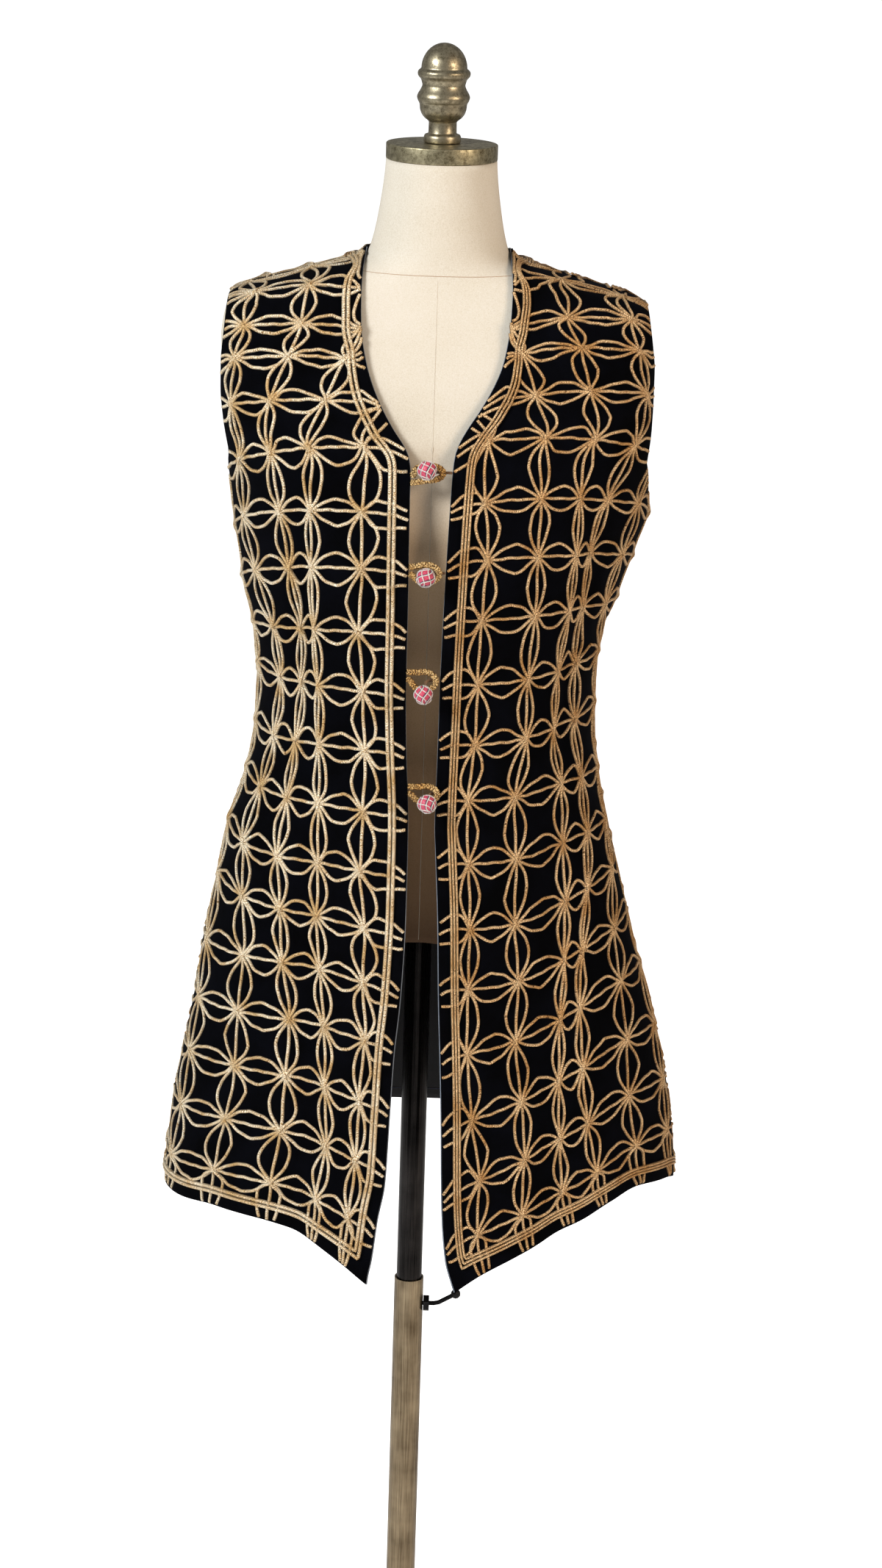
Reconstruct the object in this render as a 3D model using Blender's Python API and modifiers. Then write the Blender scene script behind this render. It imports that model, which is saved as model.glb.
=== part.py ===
"""Long embroidered velvet waistcoat on a limbless dress form with a telescopic stand.

Units are metres, +Z is up and the front of the waistcoat faces -Y.  The origin is the
bottom centre of the base plate, and the pole stands on the Z axis.  "Right" and "left"
are the wearer's, so the right front lies at -X.
"""

from collections import namedtuple
from math import asin, atan2, cos, pi, radians, sin

import bmesh
import bpy
from mathutils import Matrix, Vector

MM = 0.001

# ---------------------------------------------------------------- clearances and walls
TOUCH = 0.3 * MM            # left between pieces that touch
VELVET = 2.0 * MM           # pile velvet with its interfacing
LINING = 1.0 * MM
BRAID_THICK = 1.4 * MM

# ---------------------------------------------------------------- stand
BASE_RADIUS = 165 * MM
BASE_THICK = 10 * MM
BASE_BEVEL = 2.5 * MM
TUBE_RADIUS = 14.8 * MM
TUBE_WALL = 1.5 * MM
TUBE_TOP = 0.441
COLLAR_RADIUS = 26 * MM     # foot flange of the lower tube
COLLAR_TALL = 9 * MM
COLLAR_BEVEL = 2.5 * MM
POLE_RADIUS = 12.8 * MM
POLE_WALL = 1.5 * MM
POLE_FOOT = 0.140           # lower end of the pole inside the tube
CLAMP_Z = 0.412
NUT_ACROSS = 15 * MM
NUT_THICK = 6 * MM
STUD_BORE = 3.6 * MM
STUD_PROUD = 5 * MM         # straight end of the stud outside the nut
ROD_RADIUS = 2.4 * MM
ROD_BEND = (5 * MM, 1.2 * MM)           # the rod's first bend, out and up
KNOB_RADIUS = 5.0 * MM
KNOB_REACH = 48 * MM        # knob centre from the pole's axis
KNOB_LIFT = 11 * MM

# ---------------------------------------------------------------- dress form
FORM_BOTTOM = 0.825
NECK_TOP = 1.572
CAP_RADIUS = 52.5 * MM
CAP_THICK = 15 * MM
CAP_EDGE = 1.2 * MM
FORM_SEGMENTS = 40

FormRing = namedtuple("FormRing", "z side front back corner")
FORM_RINGS = [
    FormRing(0.825, 0.161, 0.104, 0.122, 2.2),
    FormRing(0.880, 0.168, 0.108, 0.126, 2.2),      # hips
    FormRing(0.940, 0.160, 0.104, 0.117, 2.2),
    FormRing(1.000, 0.142, 0.096, 0.099, 2.2),
    FormRing(1.050, 0.125, 0.089, 0.086, 2.2),      # waist
    FormRing(1.100, 0.124, 0.092, 0.084, 2.2),
    FormRing(1.160, 0.138, 0.104, 0.091, 2.2),
    FormRing(1.220, 0.152, 0.122, 0.099, 2.3),
    FormRing(1.250, 0.157, 0.126, 0.102, 2.3),      # bust
    FormRing(1.290, 0.164, 0.119, 0.105, 2.4),
    FormRing(1.320, 0.176, 0.109, 0.106, 2.6),
    FormRing(1.350, 0.191, 0.099, 0.105, 3.0),
    FormRing(1.380, 0.2015, 0.090, 0.101, 3.5),
    FormRing(1.405, 0.2035, 0.080, 0.093, 4.0),     # end of the shoulder
    FormRing(1.425, 0.2010, 0.070, 0.083, 4.0),
    FormRing(1.437, 0.1970, 0.0640, 0.0755, 4.0),
    FormRing(1.4428, 0.1900, 0.0615, 0.0720, 3.8),
    FormRing(1.4514, 0.1600, 0.0585, 0.0680, 3.4),
    FormRing(1.4602, 0.1300, 0.0562, 0.0645, 3.0),
    FormRing(1.4690, 0.1000, 0.0545, 0.0615, 2.6),
    FormRing(1.4738, 0.0825, 0.0540, 0.0600, 2.4),
    FormRing(1.4783, 0.0735, 0.0535, 0.0588, 2.2),
    FormRing(1.4834, 0.0678, 0.0532, 0.0578, 2.1),
    FormRing(1.4900, 0.0650, 0.0530, 0.0570, 2.0),
    FormRing(1.5160, 0.0590, 0.0525, 0.0550, 2.0),
    FormRing(1.5600, 0.0530, 0.0525, 0.0530, 2.0),
    FormRing(1.5720, 0.0522, 0.0522, 0.0522, 2.0),  # under the neck cap
]

# ---------------------------------------------------------------- waistcoat
# Level sections of the body that the cloth hangs on, with its ease.  "middle" is how
# far the cloth hangs off centre; above the underarm the cloth stops at the armhole.
CoatRing = namedtuple("CoatRing", "z middle side front back corner")
COAT_RINGS = [
    CoatRing(0.460, 0.0080, 0.2620, 0.1390, 0.1560, 2.15),
    CoatRing(0.552, 0.0075, 0.2570, 0.1360, 0.1530, 2.15),
    CoatRing(0.615, 0.0080, 0.2512, 0.1335, 0.1500, 2.15),
    CoatRing(0.678, 0.0078, 0.2413, 0.1310, 0.1470, 2.15),
    CoatRing(0.740, 0.0058, 0.2282, 0.1285, 0.1440, 2.15),
    CoatRing(0.801, 0.0005, 0.2144, 0.1265, 0.1405, 2.15),
    CoatRing(0.862, -0.0016, 0.2005, 0.1245, 0.1360, 2.15),
    CoatRing(0.923, -0.0035, 0.1866, 0.1230, 0.1290, 2.2),
    CoatRing(0.983, -0.0010, 0.1711, 0.1220, 0.1170, 2.2),
    CoatRing(1.030, -0.0005, 0.1648, 0.1220, 0.1080, 2.2),
    CoatRing(1.072, -0.0005, 0.1640, 0.1230, 0.1050, 2.2),
    CoatRing(1.101, -0.0010, 0.1657, 0.1245, 0.1045, 2.2),
    CoatRing(1.131, 0.0000, 0.1703, 0.1260, 0.1050, 2.2),
    CoatRing(1.160, 0.0010, 0.1788, 0.1280, 0.1060, 2.25),
    CoatRing(1.189, 0.0035, 0.1854, 0.1300, 0.1075, 2.3),
    CoatRing(1.218, 0.0060, 0.1924, 0.1310, 0.1085, 2.35),
    CoatRing(1.247, 0.0080, 0.1990, 0.1315, 0.1095, 2.45),
    CoatRing(1.265, 0.0069, 0.2000, 0.1305, 0.1100, 2.55),
    CoatRing(1.300, 0.0048, 0.2065, 0.1250, 0.1105, 2.8),
    CoatRing(1.330, 0.0030, 0.2080, 0.1145, 0.1110, 3.1),
    CoatRing(1.360, 0.0015, 0.2085, 0.1035, 0.1085, 3.5),
    CoatRing(1.385, 0.0005, 0.2085, 0.0945, 0.1040, 3.9),
    CoatRing(1.410, 0.0000, 0.2075, 0.0850, 0.0965, 4.2),
    CoatRing(1.430, 0.0000, 0.2045, 0.0755, 0.0870, 4.2),
    CoatRing(1.4405, 0.0000, 0.1985, 0.0690, 0.0800, 4.0),
    CoatRing(1.4466, 0.0000, 0.1910, 0.0655, 0.0760, 3.8),
    CoatRing(1.4556, 0.0000, 0.1610, 0.0625, 0.0720, 3.4),
    CoatRing(1.4645, 0.0000, 0.1310, 0.0602, 0.0685, 3.0),
    CoatRing(1.4734, 0.0000, 0.1010, 0.0585, 0.0655, 2.6),
    CoatRing(1.4783, 0.0000, 0.0835, 0.0580, 0.0640, 2.4),
    CoatRing(1.4828, 0.0000, 0.0750, 0.0578, 0.0630, 2.2),
    CoatRing(1.4890, 0.0000, 0.0700, 0.0575, 0.0620, 2.1),
    CoatRing(1.5000, 0.0000, 0.0680, 0.0575, 0.0615, 2.0),
]

SHOULDER_FOOT = 1.436       # the shoulder line is looked for between here and the top
UNDERARM = 1.262            # top of the side seams
YOKE = 1.300                # from here the cloth arches over the shoulder
ARMHOLE_SCYE = 0.955        # share of the half width left at the yoke
ARMHOLE_CURVE = 1.3
NECK_POINT = 0.0700         # the neck end of the shoulder seam, from the centre
NAPE = 1.474

# The centre-front edge and the neckline of each front, from the tip to the shoulder.
FrontEdge = namedtuple("FrontEdge", "z right left")
FRONT_EDGES = [
    FrontEdge(0.470, -0.0430, 0.0510),
    FrontEdge(0.494, -0.0411, 0.0428),
    FrontEdge(0.516, -0.0372, 0.0365),
    FrontEdge(0.5565, -0.0325, 0.0320),
    FrontEdge(0.594, -0.0262, 0.0300),
    FrontEdge(0.664, -0.0233, 0.0275),
    FrontEdge(0.724, -0.0208, 0.0247),
    FrontEdge(0.782, -0.0160, 0.0216),
    FrontEdge(0.861, -0.0131, 0.0185),
    FrontEdge(0.930, -0.0128, 0.0142),
    FrontEdge(0.958, -0.0131, 0.0126),
    FrontEdge(1.040, -0.0172, 0.0133),
    FrontEdge(1.100, -0.0188, 0.0137),
    FrontEdge(1.148, -0.0188, 0.0145),
    FrontEdge(1.230, -0.0195, 0.0166),
    FrontEdge(1.300, -0.0202, 0.0196),
    FrontEdge(1.312, -0.0220, 0.0208),
    FrontEdge(1.321, -0.0265, 0.0232),
    FrontEdge(1.335, -0.0368, 0.0305),
    FrontEdge(1.354, -0.0483, 0.0432),
    FrontEdge(1.375, -0.0582, 0.0552),
    FrontEdge(1.395, -0.0646, 0.0632),
    FrontEdge(1.415, -0.0685, 0.0672),
    FrontEdge(1.437, -0.0705, 0.0694),
    FrontEdge(1.460, -0.0710, 0.0702),
    FrontEdge(1.490, -0.0700, 0.0695),
]

# Outer edge of the armholes above the yoke line, from the centre.
ArmEdge = namedtuple("ArmEdge", "z right left")
ARM_EDGES = [
    ArmEdge(1.300, 0.1924, 0.2020),
    ArmEdge(1.330, 0.1985, 0.2055),
    ArmEdge(1.360, 0.2015, 0.2062),
    ArmEdge(1.385, 0.2015, 0.2062),
    ArmEdge(1.410, 0.1995, 0.2035),
    ArmEdge(1.438, 0.1975, 0.1995),
    ArmEdge(1.450, 0.1970, 0.1985),
]

# Height of the hems, by the share of the way from the front edge to the side seam and,
# on the back, from the centre to the side seam.
HemPoint = namedtuple("HemPoint", "share right left")
FRONT_HEM = [
    HemPoint(0.00, 0.489, 0.484),
    HemPoint(0.08, 0.509, 0.501),
    HemPoint(0.16, 0.526, 0.515),
    HemPoint(0.25, 0.539, 0.531),
    HemPoint(0.35, 0.546, 0.546),
    HemPoint(0.50, 0.548, 0.568),
    HemPoint(0.65, 0.546, 0.577),
    HemPoint(0.80, 0.545, 0.574),
    HemPoint(1.00, 0.544, 0.5605),
]
BACK_HEM = [
    HemPoint(0.00, 0.581, 0.581),
    HemPoint(0.50, 0.574, 0.577),
    HemPoint(1.00, 0.544, 0.5605),
]

# Soft creases and flutes of the hanging cloth: where the line runs at its two ends (as
# metres from the front edge, along the cloth), how wide it is and how deep.
Crease = namedtuple("Crease", "low high across_low across_high width depth_low depth_high")
FRONT_CREASES = {
    "right": [
        Crease(0.95, 1.28, 0.098, 0.106, 0.016, 0.0035, 0.0035),    # the dart
        Crease(0.46, 0.98, 0.085, 0.098, 0.030, 0.0060, 0.0020),    # opening into a flute
        Crease(0.46, 0.85, 0.195, 0.180, 0.030, 0.0045, 0.0000)],
    "left": [
        Crease(0.95, 1.28, 0.126, 0.150, 0.016, 0.0035, 0.0035),
        Crease(0.46, 0.98, 0.118, 0.126, 0.028, 0.0065, 0.0025),
        Crease(0.46, 0.85, 0.215, 0.190, 0.030, 0.0045, 0.0000)],
}
CREASE_FADE = 0.06          # height over which a crease's ends die away
SIDE_FADE = 0.03            # way to the side seam over which creases die away
BACK_FLUTES = 5             # waves of the back's skirt from side seam to side seam
BACK_FLUTE_DEPTH = 5.0 * MM
BACK_FLUTE_TOP = 0.98
HEM_LEVEL = 0.48

BRAID_IN = 12 * MM          # edge of the cloth to the border braid
BRAID_WIDTH = 9 * MM
DART_ACROSS = {"right": 0.098, "left": 0.132}
DART_HALF = 9 * MM
DART_LIMIT = 0.65           # on the short rows above, the dart's columns keep to these
DART_HALF_LIMIT = 0.1       # shares of the row
COLUMNS_BEFORE = 3          # columns from the braid to the dart, and from it to the side
COLUMNS_AFTER = 5
LINING_STRIP = 5            # columns of the fronts' lining that show at the opening
LINING_BACK_TOP = 0.90

# ---------------------------------------------------------------- fastenings
BUTTON_RADIUS = 8.8 * MM
BUTTON_PROUD = 14.2 * MM    # button centre in front of the fronts' edges
EDGE_SEAT = 0.9 * MM        # from a cord's end to the edge that it is sewn to
CORD_STRAIGHT = 2.5 * MM    # straight end of a cord at the edge
SHANK_RADIUS = 1.1 * MM
SHANK_START = (1.0 * MM, 5.0 * MM)      # places on the shank, across from the button's
SHANK_KNEE = (2.0 * MM, 11.5 * MM)      # centre and behind it
SHANK_TURN = 8.0 * MM       # where it is flat behind the loop
SHANK_BEHIND = 15.6 * MM
LOOP_RADIUS = 2.3 * MM
LOOP_BEHIND = 11.45 * MM    # the loop's plane behind the button's centre
LOOP_APART = 2.6 * MM       # half the way between its two ends
LOOP_OPEN = radians(48)     # half the angle that the ring leaves open at its ends
LOOP_POINTS = 10
# Height, way across the gap, the loop's root above that, and the loop's middle, across
# and up from the button, with its half width and half height.
Fastening = namedtuple("Fastening", "z share rise aside above half_wide half_tall")
FASTENINGS = [
    Fastening(1.303, 0.40, -0.0110, 0.0015, -0.0045, 0.0135, 0.0070),
    Fastening(1.203, 0.47, 0.0030, 0.0000, 0.0015, 0.0125, 0.0085),
    Fastening(1.089, 0.52, 0.0145, 0.0000, 0.0105, 0.0115, 0.0090),
    Fastening(0.982, 0.70, 0.0090, -0.0025, 0.0065, 0.0120, 0.0080),
]

# ---------------------------------------------------------------- finishes
Finish = namedtuple("Finish", "colour roughness metallic")
FINISHES = {
    "velvet": Finish((0.006, 0.007, 0.014), 0.95, 0.0),
    "lining": Finish((0.030, 0.036, 0.050), 0.80, 0.0),
    "gold_braid": Finish((0.46, 0.30, 0.11), 0.50, 0.4),
    "linen": Finish((0.74, 0.67, 0.55), 0.90, 0.0),
    "antique_brass": Finish((0.22, 0.18, 0.10), 0.35, 1.0),
    "bronzed_steel": Finish((0.11, 0.09, 0.07), 0.40, 1.0),
    "black_steel": Finish((0.02, 0.02, 0.02), 0.40, 0.6),
    "button_silk": Finish((0.55, 0.12, 0.18), 0.70, 0.0),
}


def clear_scene():
    for item in list(bpy.data.objects):
        bpy.data.objects.remove(item, do_unlink=True)


def new_collection(name):
    group = bpy.data.collections.new(name)
    bpy.context.scene.collection.children.link(group)
    return group


def finish_material(name):
    if name in bpy.data.materials:
        return bpy.data.materials[name]
    finish = FINISHES[name]
    material = bpy.data.materials.new(name)
    material.use_nodes = True
    shader = material.node_tree.nodes["Principled BSDF"]
    shader.inputs["Base Color"].default_value = (*finish.colour, 1.0)
    shader.inputs["Roughness"].default_value = finish.roughness
    shader.inputs["Metallic"].default_value = finish.metallic
    return material


def mesh_object(name, mesh, finish, group, parent=None):
    item = bpy.data.objects.new(name, mesh)
    mesh.materials.clear()
    mesh.materials.append(finish_material(finish))
    group.objects.link(item)
    item.parent = parent
    return item


def pivot(name, place, group, parent=None):
    """An empty on a joint's axis, at a place given in its parent's frame."""
    empty = bpy.data.objects.new(name, None)
    empty.empty_display_size = 0.05
    empty.location = place
    empty.parent = parent
    group.objects.link(empty)
    return empty


# ================================================================ tables
def between(rows, field, at, key="z"):
    """Value of a column between its rows, on a smooth curve that never overshoots."""
    xs = [getattr(row, key) for row in rows]
    ys = [getattr(row, field) for row in rows]
    if at <= xs[0]:
        return ys[0]
    if at >= xs[-1]:
        return ys[-1]
    k = max(i for i in range(len(xs) - 1) if xs[i] <= at)
    steps = [(ys[i + 1] - ys[i]) / (xs[i + 1] - xs[i]) for i in range(len(xs) - 1)]

    def slope(i):
        if i == 0:
            return steps[0]
        if i == len(xs) - 1:
            return steps[-1]
        before, after = steps[i - 1], steps[i]
        if before * after <= 0:
            return 0.0
        return 2 * before * after / (before + after)

    width = xs[k + 1] - xs[k]
    t = (at - xs[k]) / width
    return (ys[k] * (1 + 2 * t) * (1 - t) ** 2 + slope(k) * width * t * (1 - t) ** 2
            + ys[k + 1] * t * t * (3 - 2 * t) - slope(k + 1) * width * t * t * (1 - t))


def ease_in(t):
    t = min(1.0, max(0.0, t))
    return t * t * (3 - 2 * t)


# ================================================================ the cloth's surface
def coat_ring(z):
    return CoatRing(z, *(between(COAT_RINGS, field, z) for field in CoatRing._fields[1:]))


def ring_depth(ratio, corner):
    return max(0.0, 1 - min(1.0, abs(ratio)) ** corner) ** (1 / corner)


def shoulder_ridge(x):
    """Height of the shoulder line over a place across, where the cloth turns over."""
    low, high = SHOULDER_FOOT, COAT_RINGS[-1].z
    for _ in range(30):
        z = (low + high) / 2
        if between(COAT_RINGS, "side", z) > abs(x):
            low = z
        else:
            high = z
    return (low + high) / 2


def surface_point(x, z, face):
    """Outer face of the cloth at a place across and up; face is -1 front, 1 back."""
    ring = coat_ring(z)
    ratio = (x - ring.middle) / ring.side
    reach = ring.front if face < 0 else ring.back
    return Vector((x, face * reach * ring_depth(ratio, ring.corner), z))


def outward(point, face):
    """Unit normal of the level sections' surface."""
    def level(z):
        ring = coat_ring(z)
        reach = ring.front if face < 0 else ring.back
        return (abs(point.x - ring.middle) / ring.side) ** ring.corner + (
            abs(point.y) / reach) ** ring.corner

    ring = coat_ring(point.z)
    reach = ring.front if face < 0 else ring.back
    across = abs(point.x - ring.middle) / ring.side
    deep = abs(point.y) / reach
    step = 1 * MM
    along_x = ring.corner * across ** (ring.corner - 1) / ring.side
    along_y = ring.corner * deep ** (ring.corner - 1) / reach
    return Vector((along_x if point.x > ring.middle else -along_x, face * along_y,
                   (level(point.z + step) - level(point.z - step)) / (2 * step))).normalized()


def arch_height(x_of_z, top_of_x, lift):
    """Height on an edge curve at a share of the way from the yoke line to the top."""
    z = YOKE
    for _ in range(12):
        z = YOKE + (top_of_x(x_of_z(z)) - YOKE) * lift
    return z


def scye_ratio(z):
    """Share of the half width that the cloth reaches between underarm and yoke."""
    if z <= UNDERARM:
        return 1.0
    climb = min(1.0, (z - UNDERARM) / (YOKE - UNDERARM))
    return 1 - (1 - ARMHOLE_SCYE) * climb ** ARMHOLE_CURVE


def side_angle(z):
    return asin(scye_ratio(z))


# ================================================================ panels
# A row of a panel is ("skirt", share up from the hem to the underarm), ("scye", height)
# or ("yoke", share of the turn over the shoulder).
def front_row_point(wearer, row, across):
    """Point of a front at a share of its angle, from the front edge to the side."""
    kind, at = row
    side = -1 if wearer == "right" else 1

    def edge_x(z):
        return between(FRONT_EDGES, wearer, z)

    if kind == "yoke":
        lift = 1 - (1 - at) ** YOKE_TURN

        def arm_x(z):
            return side * between(ARM_EDGES, wearer, z)

        first = edge_x(arch_height(edge_x, shoulder_ridge, lift))
        last = arm_x(arch_height(arm_x, shoulder_ridge, lift))
        ring = coat_ring(YOKE)
        start = asin(side * (edge_x(YOKE) - ring.middle) / ring.side)
        end = asin(abs(arm_x(YOKE) - ring.middle) / ring.side)
        share = (sin(start + (end - start) * across) - sin(start)) / (sin(end) - sin(start))
        x = first + (last - first) * share
        z = YOKE + (shoulder_ridge(x) - YOKE) * lift
        return surface_point(x, z, -1)

    if kind == "skirt":
        hem = between(FRONT_HEM, wearer, across, "share")
        z = hem + (UNDERARM - hem) * at
    else:
        z = at
    ring = coat_ring(z)
    start = asin(side * (edge_x(z) - ring.middle) / ring.side)
    end = side_angle(z)
    x = ring.middle + side * ring.side * sin(start + (end - start) * across)
    return surface_point(x, z, -1)


def back_top(x):
    """Top edge of the back: the neckline, then the shoulder seams."""
    if abs(x) >= NECK_POINT:
        return shoulder_ridge(x)
    return NAPE + (shoulder_ridge(NECK_POINT) - NAPE) * (abs(x) / NECK_POINT) ** 2


def back_row_point(row, across):
    """Point of the back at a share of its angle, -1 right side to 1 left side."""
    kind, at = row
    side = -1 if across < 0 else 1
    if kind == "yoke":
        lift = 1 - (1 - at) ** YOKE_TURN
        wearer = "right" if side < 0 else "left"

        def arm_x(z):
            return side * between(ARM_EDGES, wearer, z)

        last = arm_x(arch_height(arm_x, back_top, lift))
        end = asin(ARMHOLE_SCYE)
        x = last * sin(end * abs(across)) / sin(end)
        middle = coat_ring(YOKE).middle * (1 - lift)
        x += middle * (1 - abs(across))
        z = YOKE + (back_top(x) - YOKE) * lift
        return surface_point(x, z, 1)
    if kind == "skirt":
        hem = between(BACK_HEM, "right" if side < 0 else "left", abs(across), "share")
        z = hem + (UNDERARM - hem) * at
    else:
        z = at
    ring = coat_ring(z)
    x = ring.middle + side * ring.side * sin(side_angle(z) * abs(across))
    return surface_point(x, z, 1)


def crease_depth(creases, z, run):
    """How far creases press the cloth in at a height and a way along its row."""
    total = 0.0
    for crease in creases:
        if not crease.low < z < crease.high:
            continue
        t = (z - crease.low) / (crease.high - crease.low)
        middle = crease.across_low + (crease.across_high - crease.across_low) * t
        off = (run - middle) / crease.width
        depth = crease.depth_low + (crease.depth_high - crease.depth_low) * t
        fade = ease_in((crease.high - z) / CREASE_FADE)
        if crease.low > HEM_LEVEL:
            fade *= ease_in((z - crease.low) / CREASE_FADE)
        total += depth * fade * soft_trough(off)
    return total


def soft_trough(off):
    """A soft trough with low shoulders on both sides."""
    return (1 - off * off) * 2.0 ** (-1.5 * off * off) if abs(off) < 3 else 0.0


SKIRT_ROWS = 14
SCYE_ROWS = (1.267, 1.280)
YOKE_ROWS = 10
YOKE_TURN = 2.4             # crowds the rows where the cloth turns over the shoulder
HEM_SHARES = (0.0, 0.0166, 0.0288)      # hem edge and the two edges of its braid
PANEL_ROWS = (
    [("skirt", share) for share in HEM_SHARES]
    + [("skirt", HEM_SHARES[-1] + (1 - HEM_SHARES[-1]) * k / SKIRT_ROWS)
       for k in range(1, SKIRT_ROWS + 1)]
    + [("scye", z) for z in SCYE_ROWS]
    + [("yoke", k / YOKE_ROWS) for k in range(YOKE_ROWS + 1)])
BACK_SHARES = [0.0, 0.09, 0.17, 0.245, 0.30, 0.40, 0.50, 0.60, 0.70, 0.80, 0.90, 1.0]
ROW_SAMPLES = 40


def front_columns(length, dart_across):
    """Ways along a front's row, from its front edge, where the columns stand."""
    dart = min(dart_across, DART_LIMIT * length)
    half = min(DART_HALF, DART_HALF_LIMIT * length)
    braid_far = BRAID_IN + BRAID_WIDTH
    before = (dart - half - braid_far) / COLUMNS_BEFORE
    after = (length - dart - half) / COLUMNS_AFTER
    return ([0.0, BRAID_IN] + [braid_far + before * k for k in range(COLUMNS_BEFORE + 1)]
            + [dart] + [dart + half + after * k for k in range(COLUMNS_AFTER + 1)])


def side_fade(off):
    return ease_in(off / SIDE_FADE)


def front_panel(wearer):
    """Outer points of a front with their normals, by row and column."""
    rows = []
    for row in PANEL_ROWS:
        track = [front_row_point(wearer, row, k / ROW_SAMPLES) for k in range(ROW_SAMPLES + 1)]
        runs = [0.0]
        for k in range(ROW_SAMPLES):
            runs.append(runs[-1] + (track[k + 1] - track[k]).length)
        points = []
        for run in front_columns(runs[-1], DART_ACROSS[wearer]):
            k = max(i for i in range(ROW_SAMPLES) if runs[i] <= run + 1e-9)
            share = (k + (run - runs[k]) / (runs[k + 1] - runs[k])) / ROW_SAMPLES
            point = front_row_point(wearer, row, min(1.0, share))
            normal = outward(point, -1)
            depth = crease_depth(FRONT_CREASES[wearer], point.z, run) * side_fade(runs[-1] - run)
            points.append((point - normal * depth, normal))
        rows.append(points)
    return rows


def back_panel():
    """Outer points of the back with their normals, by row and column."""
    shares = [-s for s in reversed(BACK_SHARES[1:])] + BACK_SHARES
    rows = []
    for row in PANEL_ROWS:
        points = []
        for share in shares:
            point = back_row_point(row, share)
            normal = outward(point, 1)
            fade = ease_in((BACK_FLUTE_TOP - point.z) / (BACK_FLUTE_TOP - HEM_LEVEL))
            wave = (1 - cos(pi * BACK_FLUTES * (share + 1))) / 2
            points.append((point - normal * BACK_FLUTE_DEPTH * fade * wave, normal))
        rows.append(points)
    return rows


def cloth_piece(name, panel, face, near, far, finish, group, parent, keep=None):
    """A wall of cloth between two depths under a panel's outer points.

    keep(column, row) tells which of the panel's cells are in the piece.
    """
    columns, rows = len(panel[0]) - 1, len(panel) - 1
    bm = bmesh.new()
    bmesh.ops.create_grid(bm, x_segments=columns, y_segments=rows, size=0.5)
    for vert in bm.verts:
        column, row = (vert.co.x + 0.5) * columns, (vert.co.y + 0.5) * rows
        vert.co = Vector((round(column), round(row), 0))
    if keep:
        middles = [(cell, cell.calc_center_median()) for cell in bm.faces]
        dropped = [cell for cell, middle in middles if not keep(int(middle.x), int(middle.y))]
        bmesh.ops.delete(bm, geom=dropped, context="FACES")
    made = bmesh.ops.extrude_face_region(bm, geom=bm.faces[:], use_keep_orig=True)
    copied = [item for item in made["geom"] if isinstance(item, bmesh.types.BMVert)]
    bmesh.ops.translate(bm, vec=(0, 0, 1), verts=copied)
    for vert in bm.verts:
        point, normal = panel[round(vert.co.y)][round(vert.co.x)]
        depth = far if vert.co.z > 0.5 else near
        vert.co = point - normal * depth + Vector((0, face * TOUCH / 2, 0))
    bmesh.ops.recalc_face_normals(bm, faces=bm.faces[:])
    if bm.calc_volume(signed=True) < 0:
        bmesh.ops.reverse_faces(bm, faces=bm.faces[:])
    mesh = bpy.data.meshes.new(name)
    bm.to_mesh(mesh)
    bm.free()
    return mesh_object(name, mesh, finish, group, parent)


def build_fronts(group, parent):
    for wearer in ("right", "left"):
        panel = front_panel(wearer)
        cloth_piece(f"front_{wearer}", panel, -1, 0, VELVET, "velvet", group, parent)
        cloth_piece(f"front_{wearer}_lining", panel, -1, VELVET + TOUCH, VELVET + TOUCH + LINING,
                    "lining", group, parent, keep=lambda c, r: c < LINING_STRIP)
        cloth_piece(f"front_{wearer}_braid", panel, -1, -TOUCH, -TOUCH - BRAID_THICK, "gold_braid",
                    group, parent, keep=lambda c, r: (c == 1 and r >= 1) or (r == 1 and c >= 1))


def build_back(group, parent):
    panel = back_panel()
    lined_rows = sum(1 for points in panel if points[0][0].z < LINING_BACK_TOP)
    cloth_piece("back", panel, 1, 0, VELVET, "velvet", group, parent)
    cloth_piece("back_lining", panel, 1, VELVET + TOUCH, VELVET + TOUCH + LINING, "lining",
                group, parent, keep=lambda c, r: r < lined_rows)
    cloth_piece("back_hem_braid", panel, 1, -TOUCH, -TOUCH - BRAID_THICK, "gold_braid",
                group, parent, keep=lambda c, r: r == 1)
    build_neck_braid(group, parent)


NECK_BRAID_STEPS = 22
NECK_BRAID_GAP = 0.8 * MM   # it crosses the back's cells, so it stands a little higher
NECK_BRAID_SLOPE = 0.96     # its way in, seen level, for each metre along the cloth


def build_neck_braid(group, parent):
    """Braid round the back of the neck, from one shoulder seam to the other."""
    rows = []
    for away in (BRAID_IN, BRAID_IN + BRAID_WIDTH):
        widest = NECK_POINT + away * NECK_BRAID_SLOPE
        top, low = shoulder_ridge(widest), NAPE - away * NECK_BRAID_SLOPE
        points = []
        for k in range(NECK_BRAID_STEPS + 1):
            x = -widest * cos(pi * k / NECK_BRAID_STEPS)
            point = surface_point(x, low + (top - low) * (x / widest) ** 2, 1)
            points.append((point, outward(point, 1)))
        rows.append(points)
    cloth_piece("back_neck_braid", rows, 1, -NECK_BRAID_GAP, -NECK_BRAID_GAP - BRAID_THICK,
                "gold_braid", group, parent)


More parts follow.
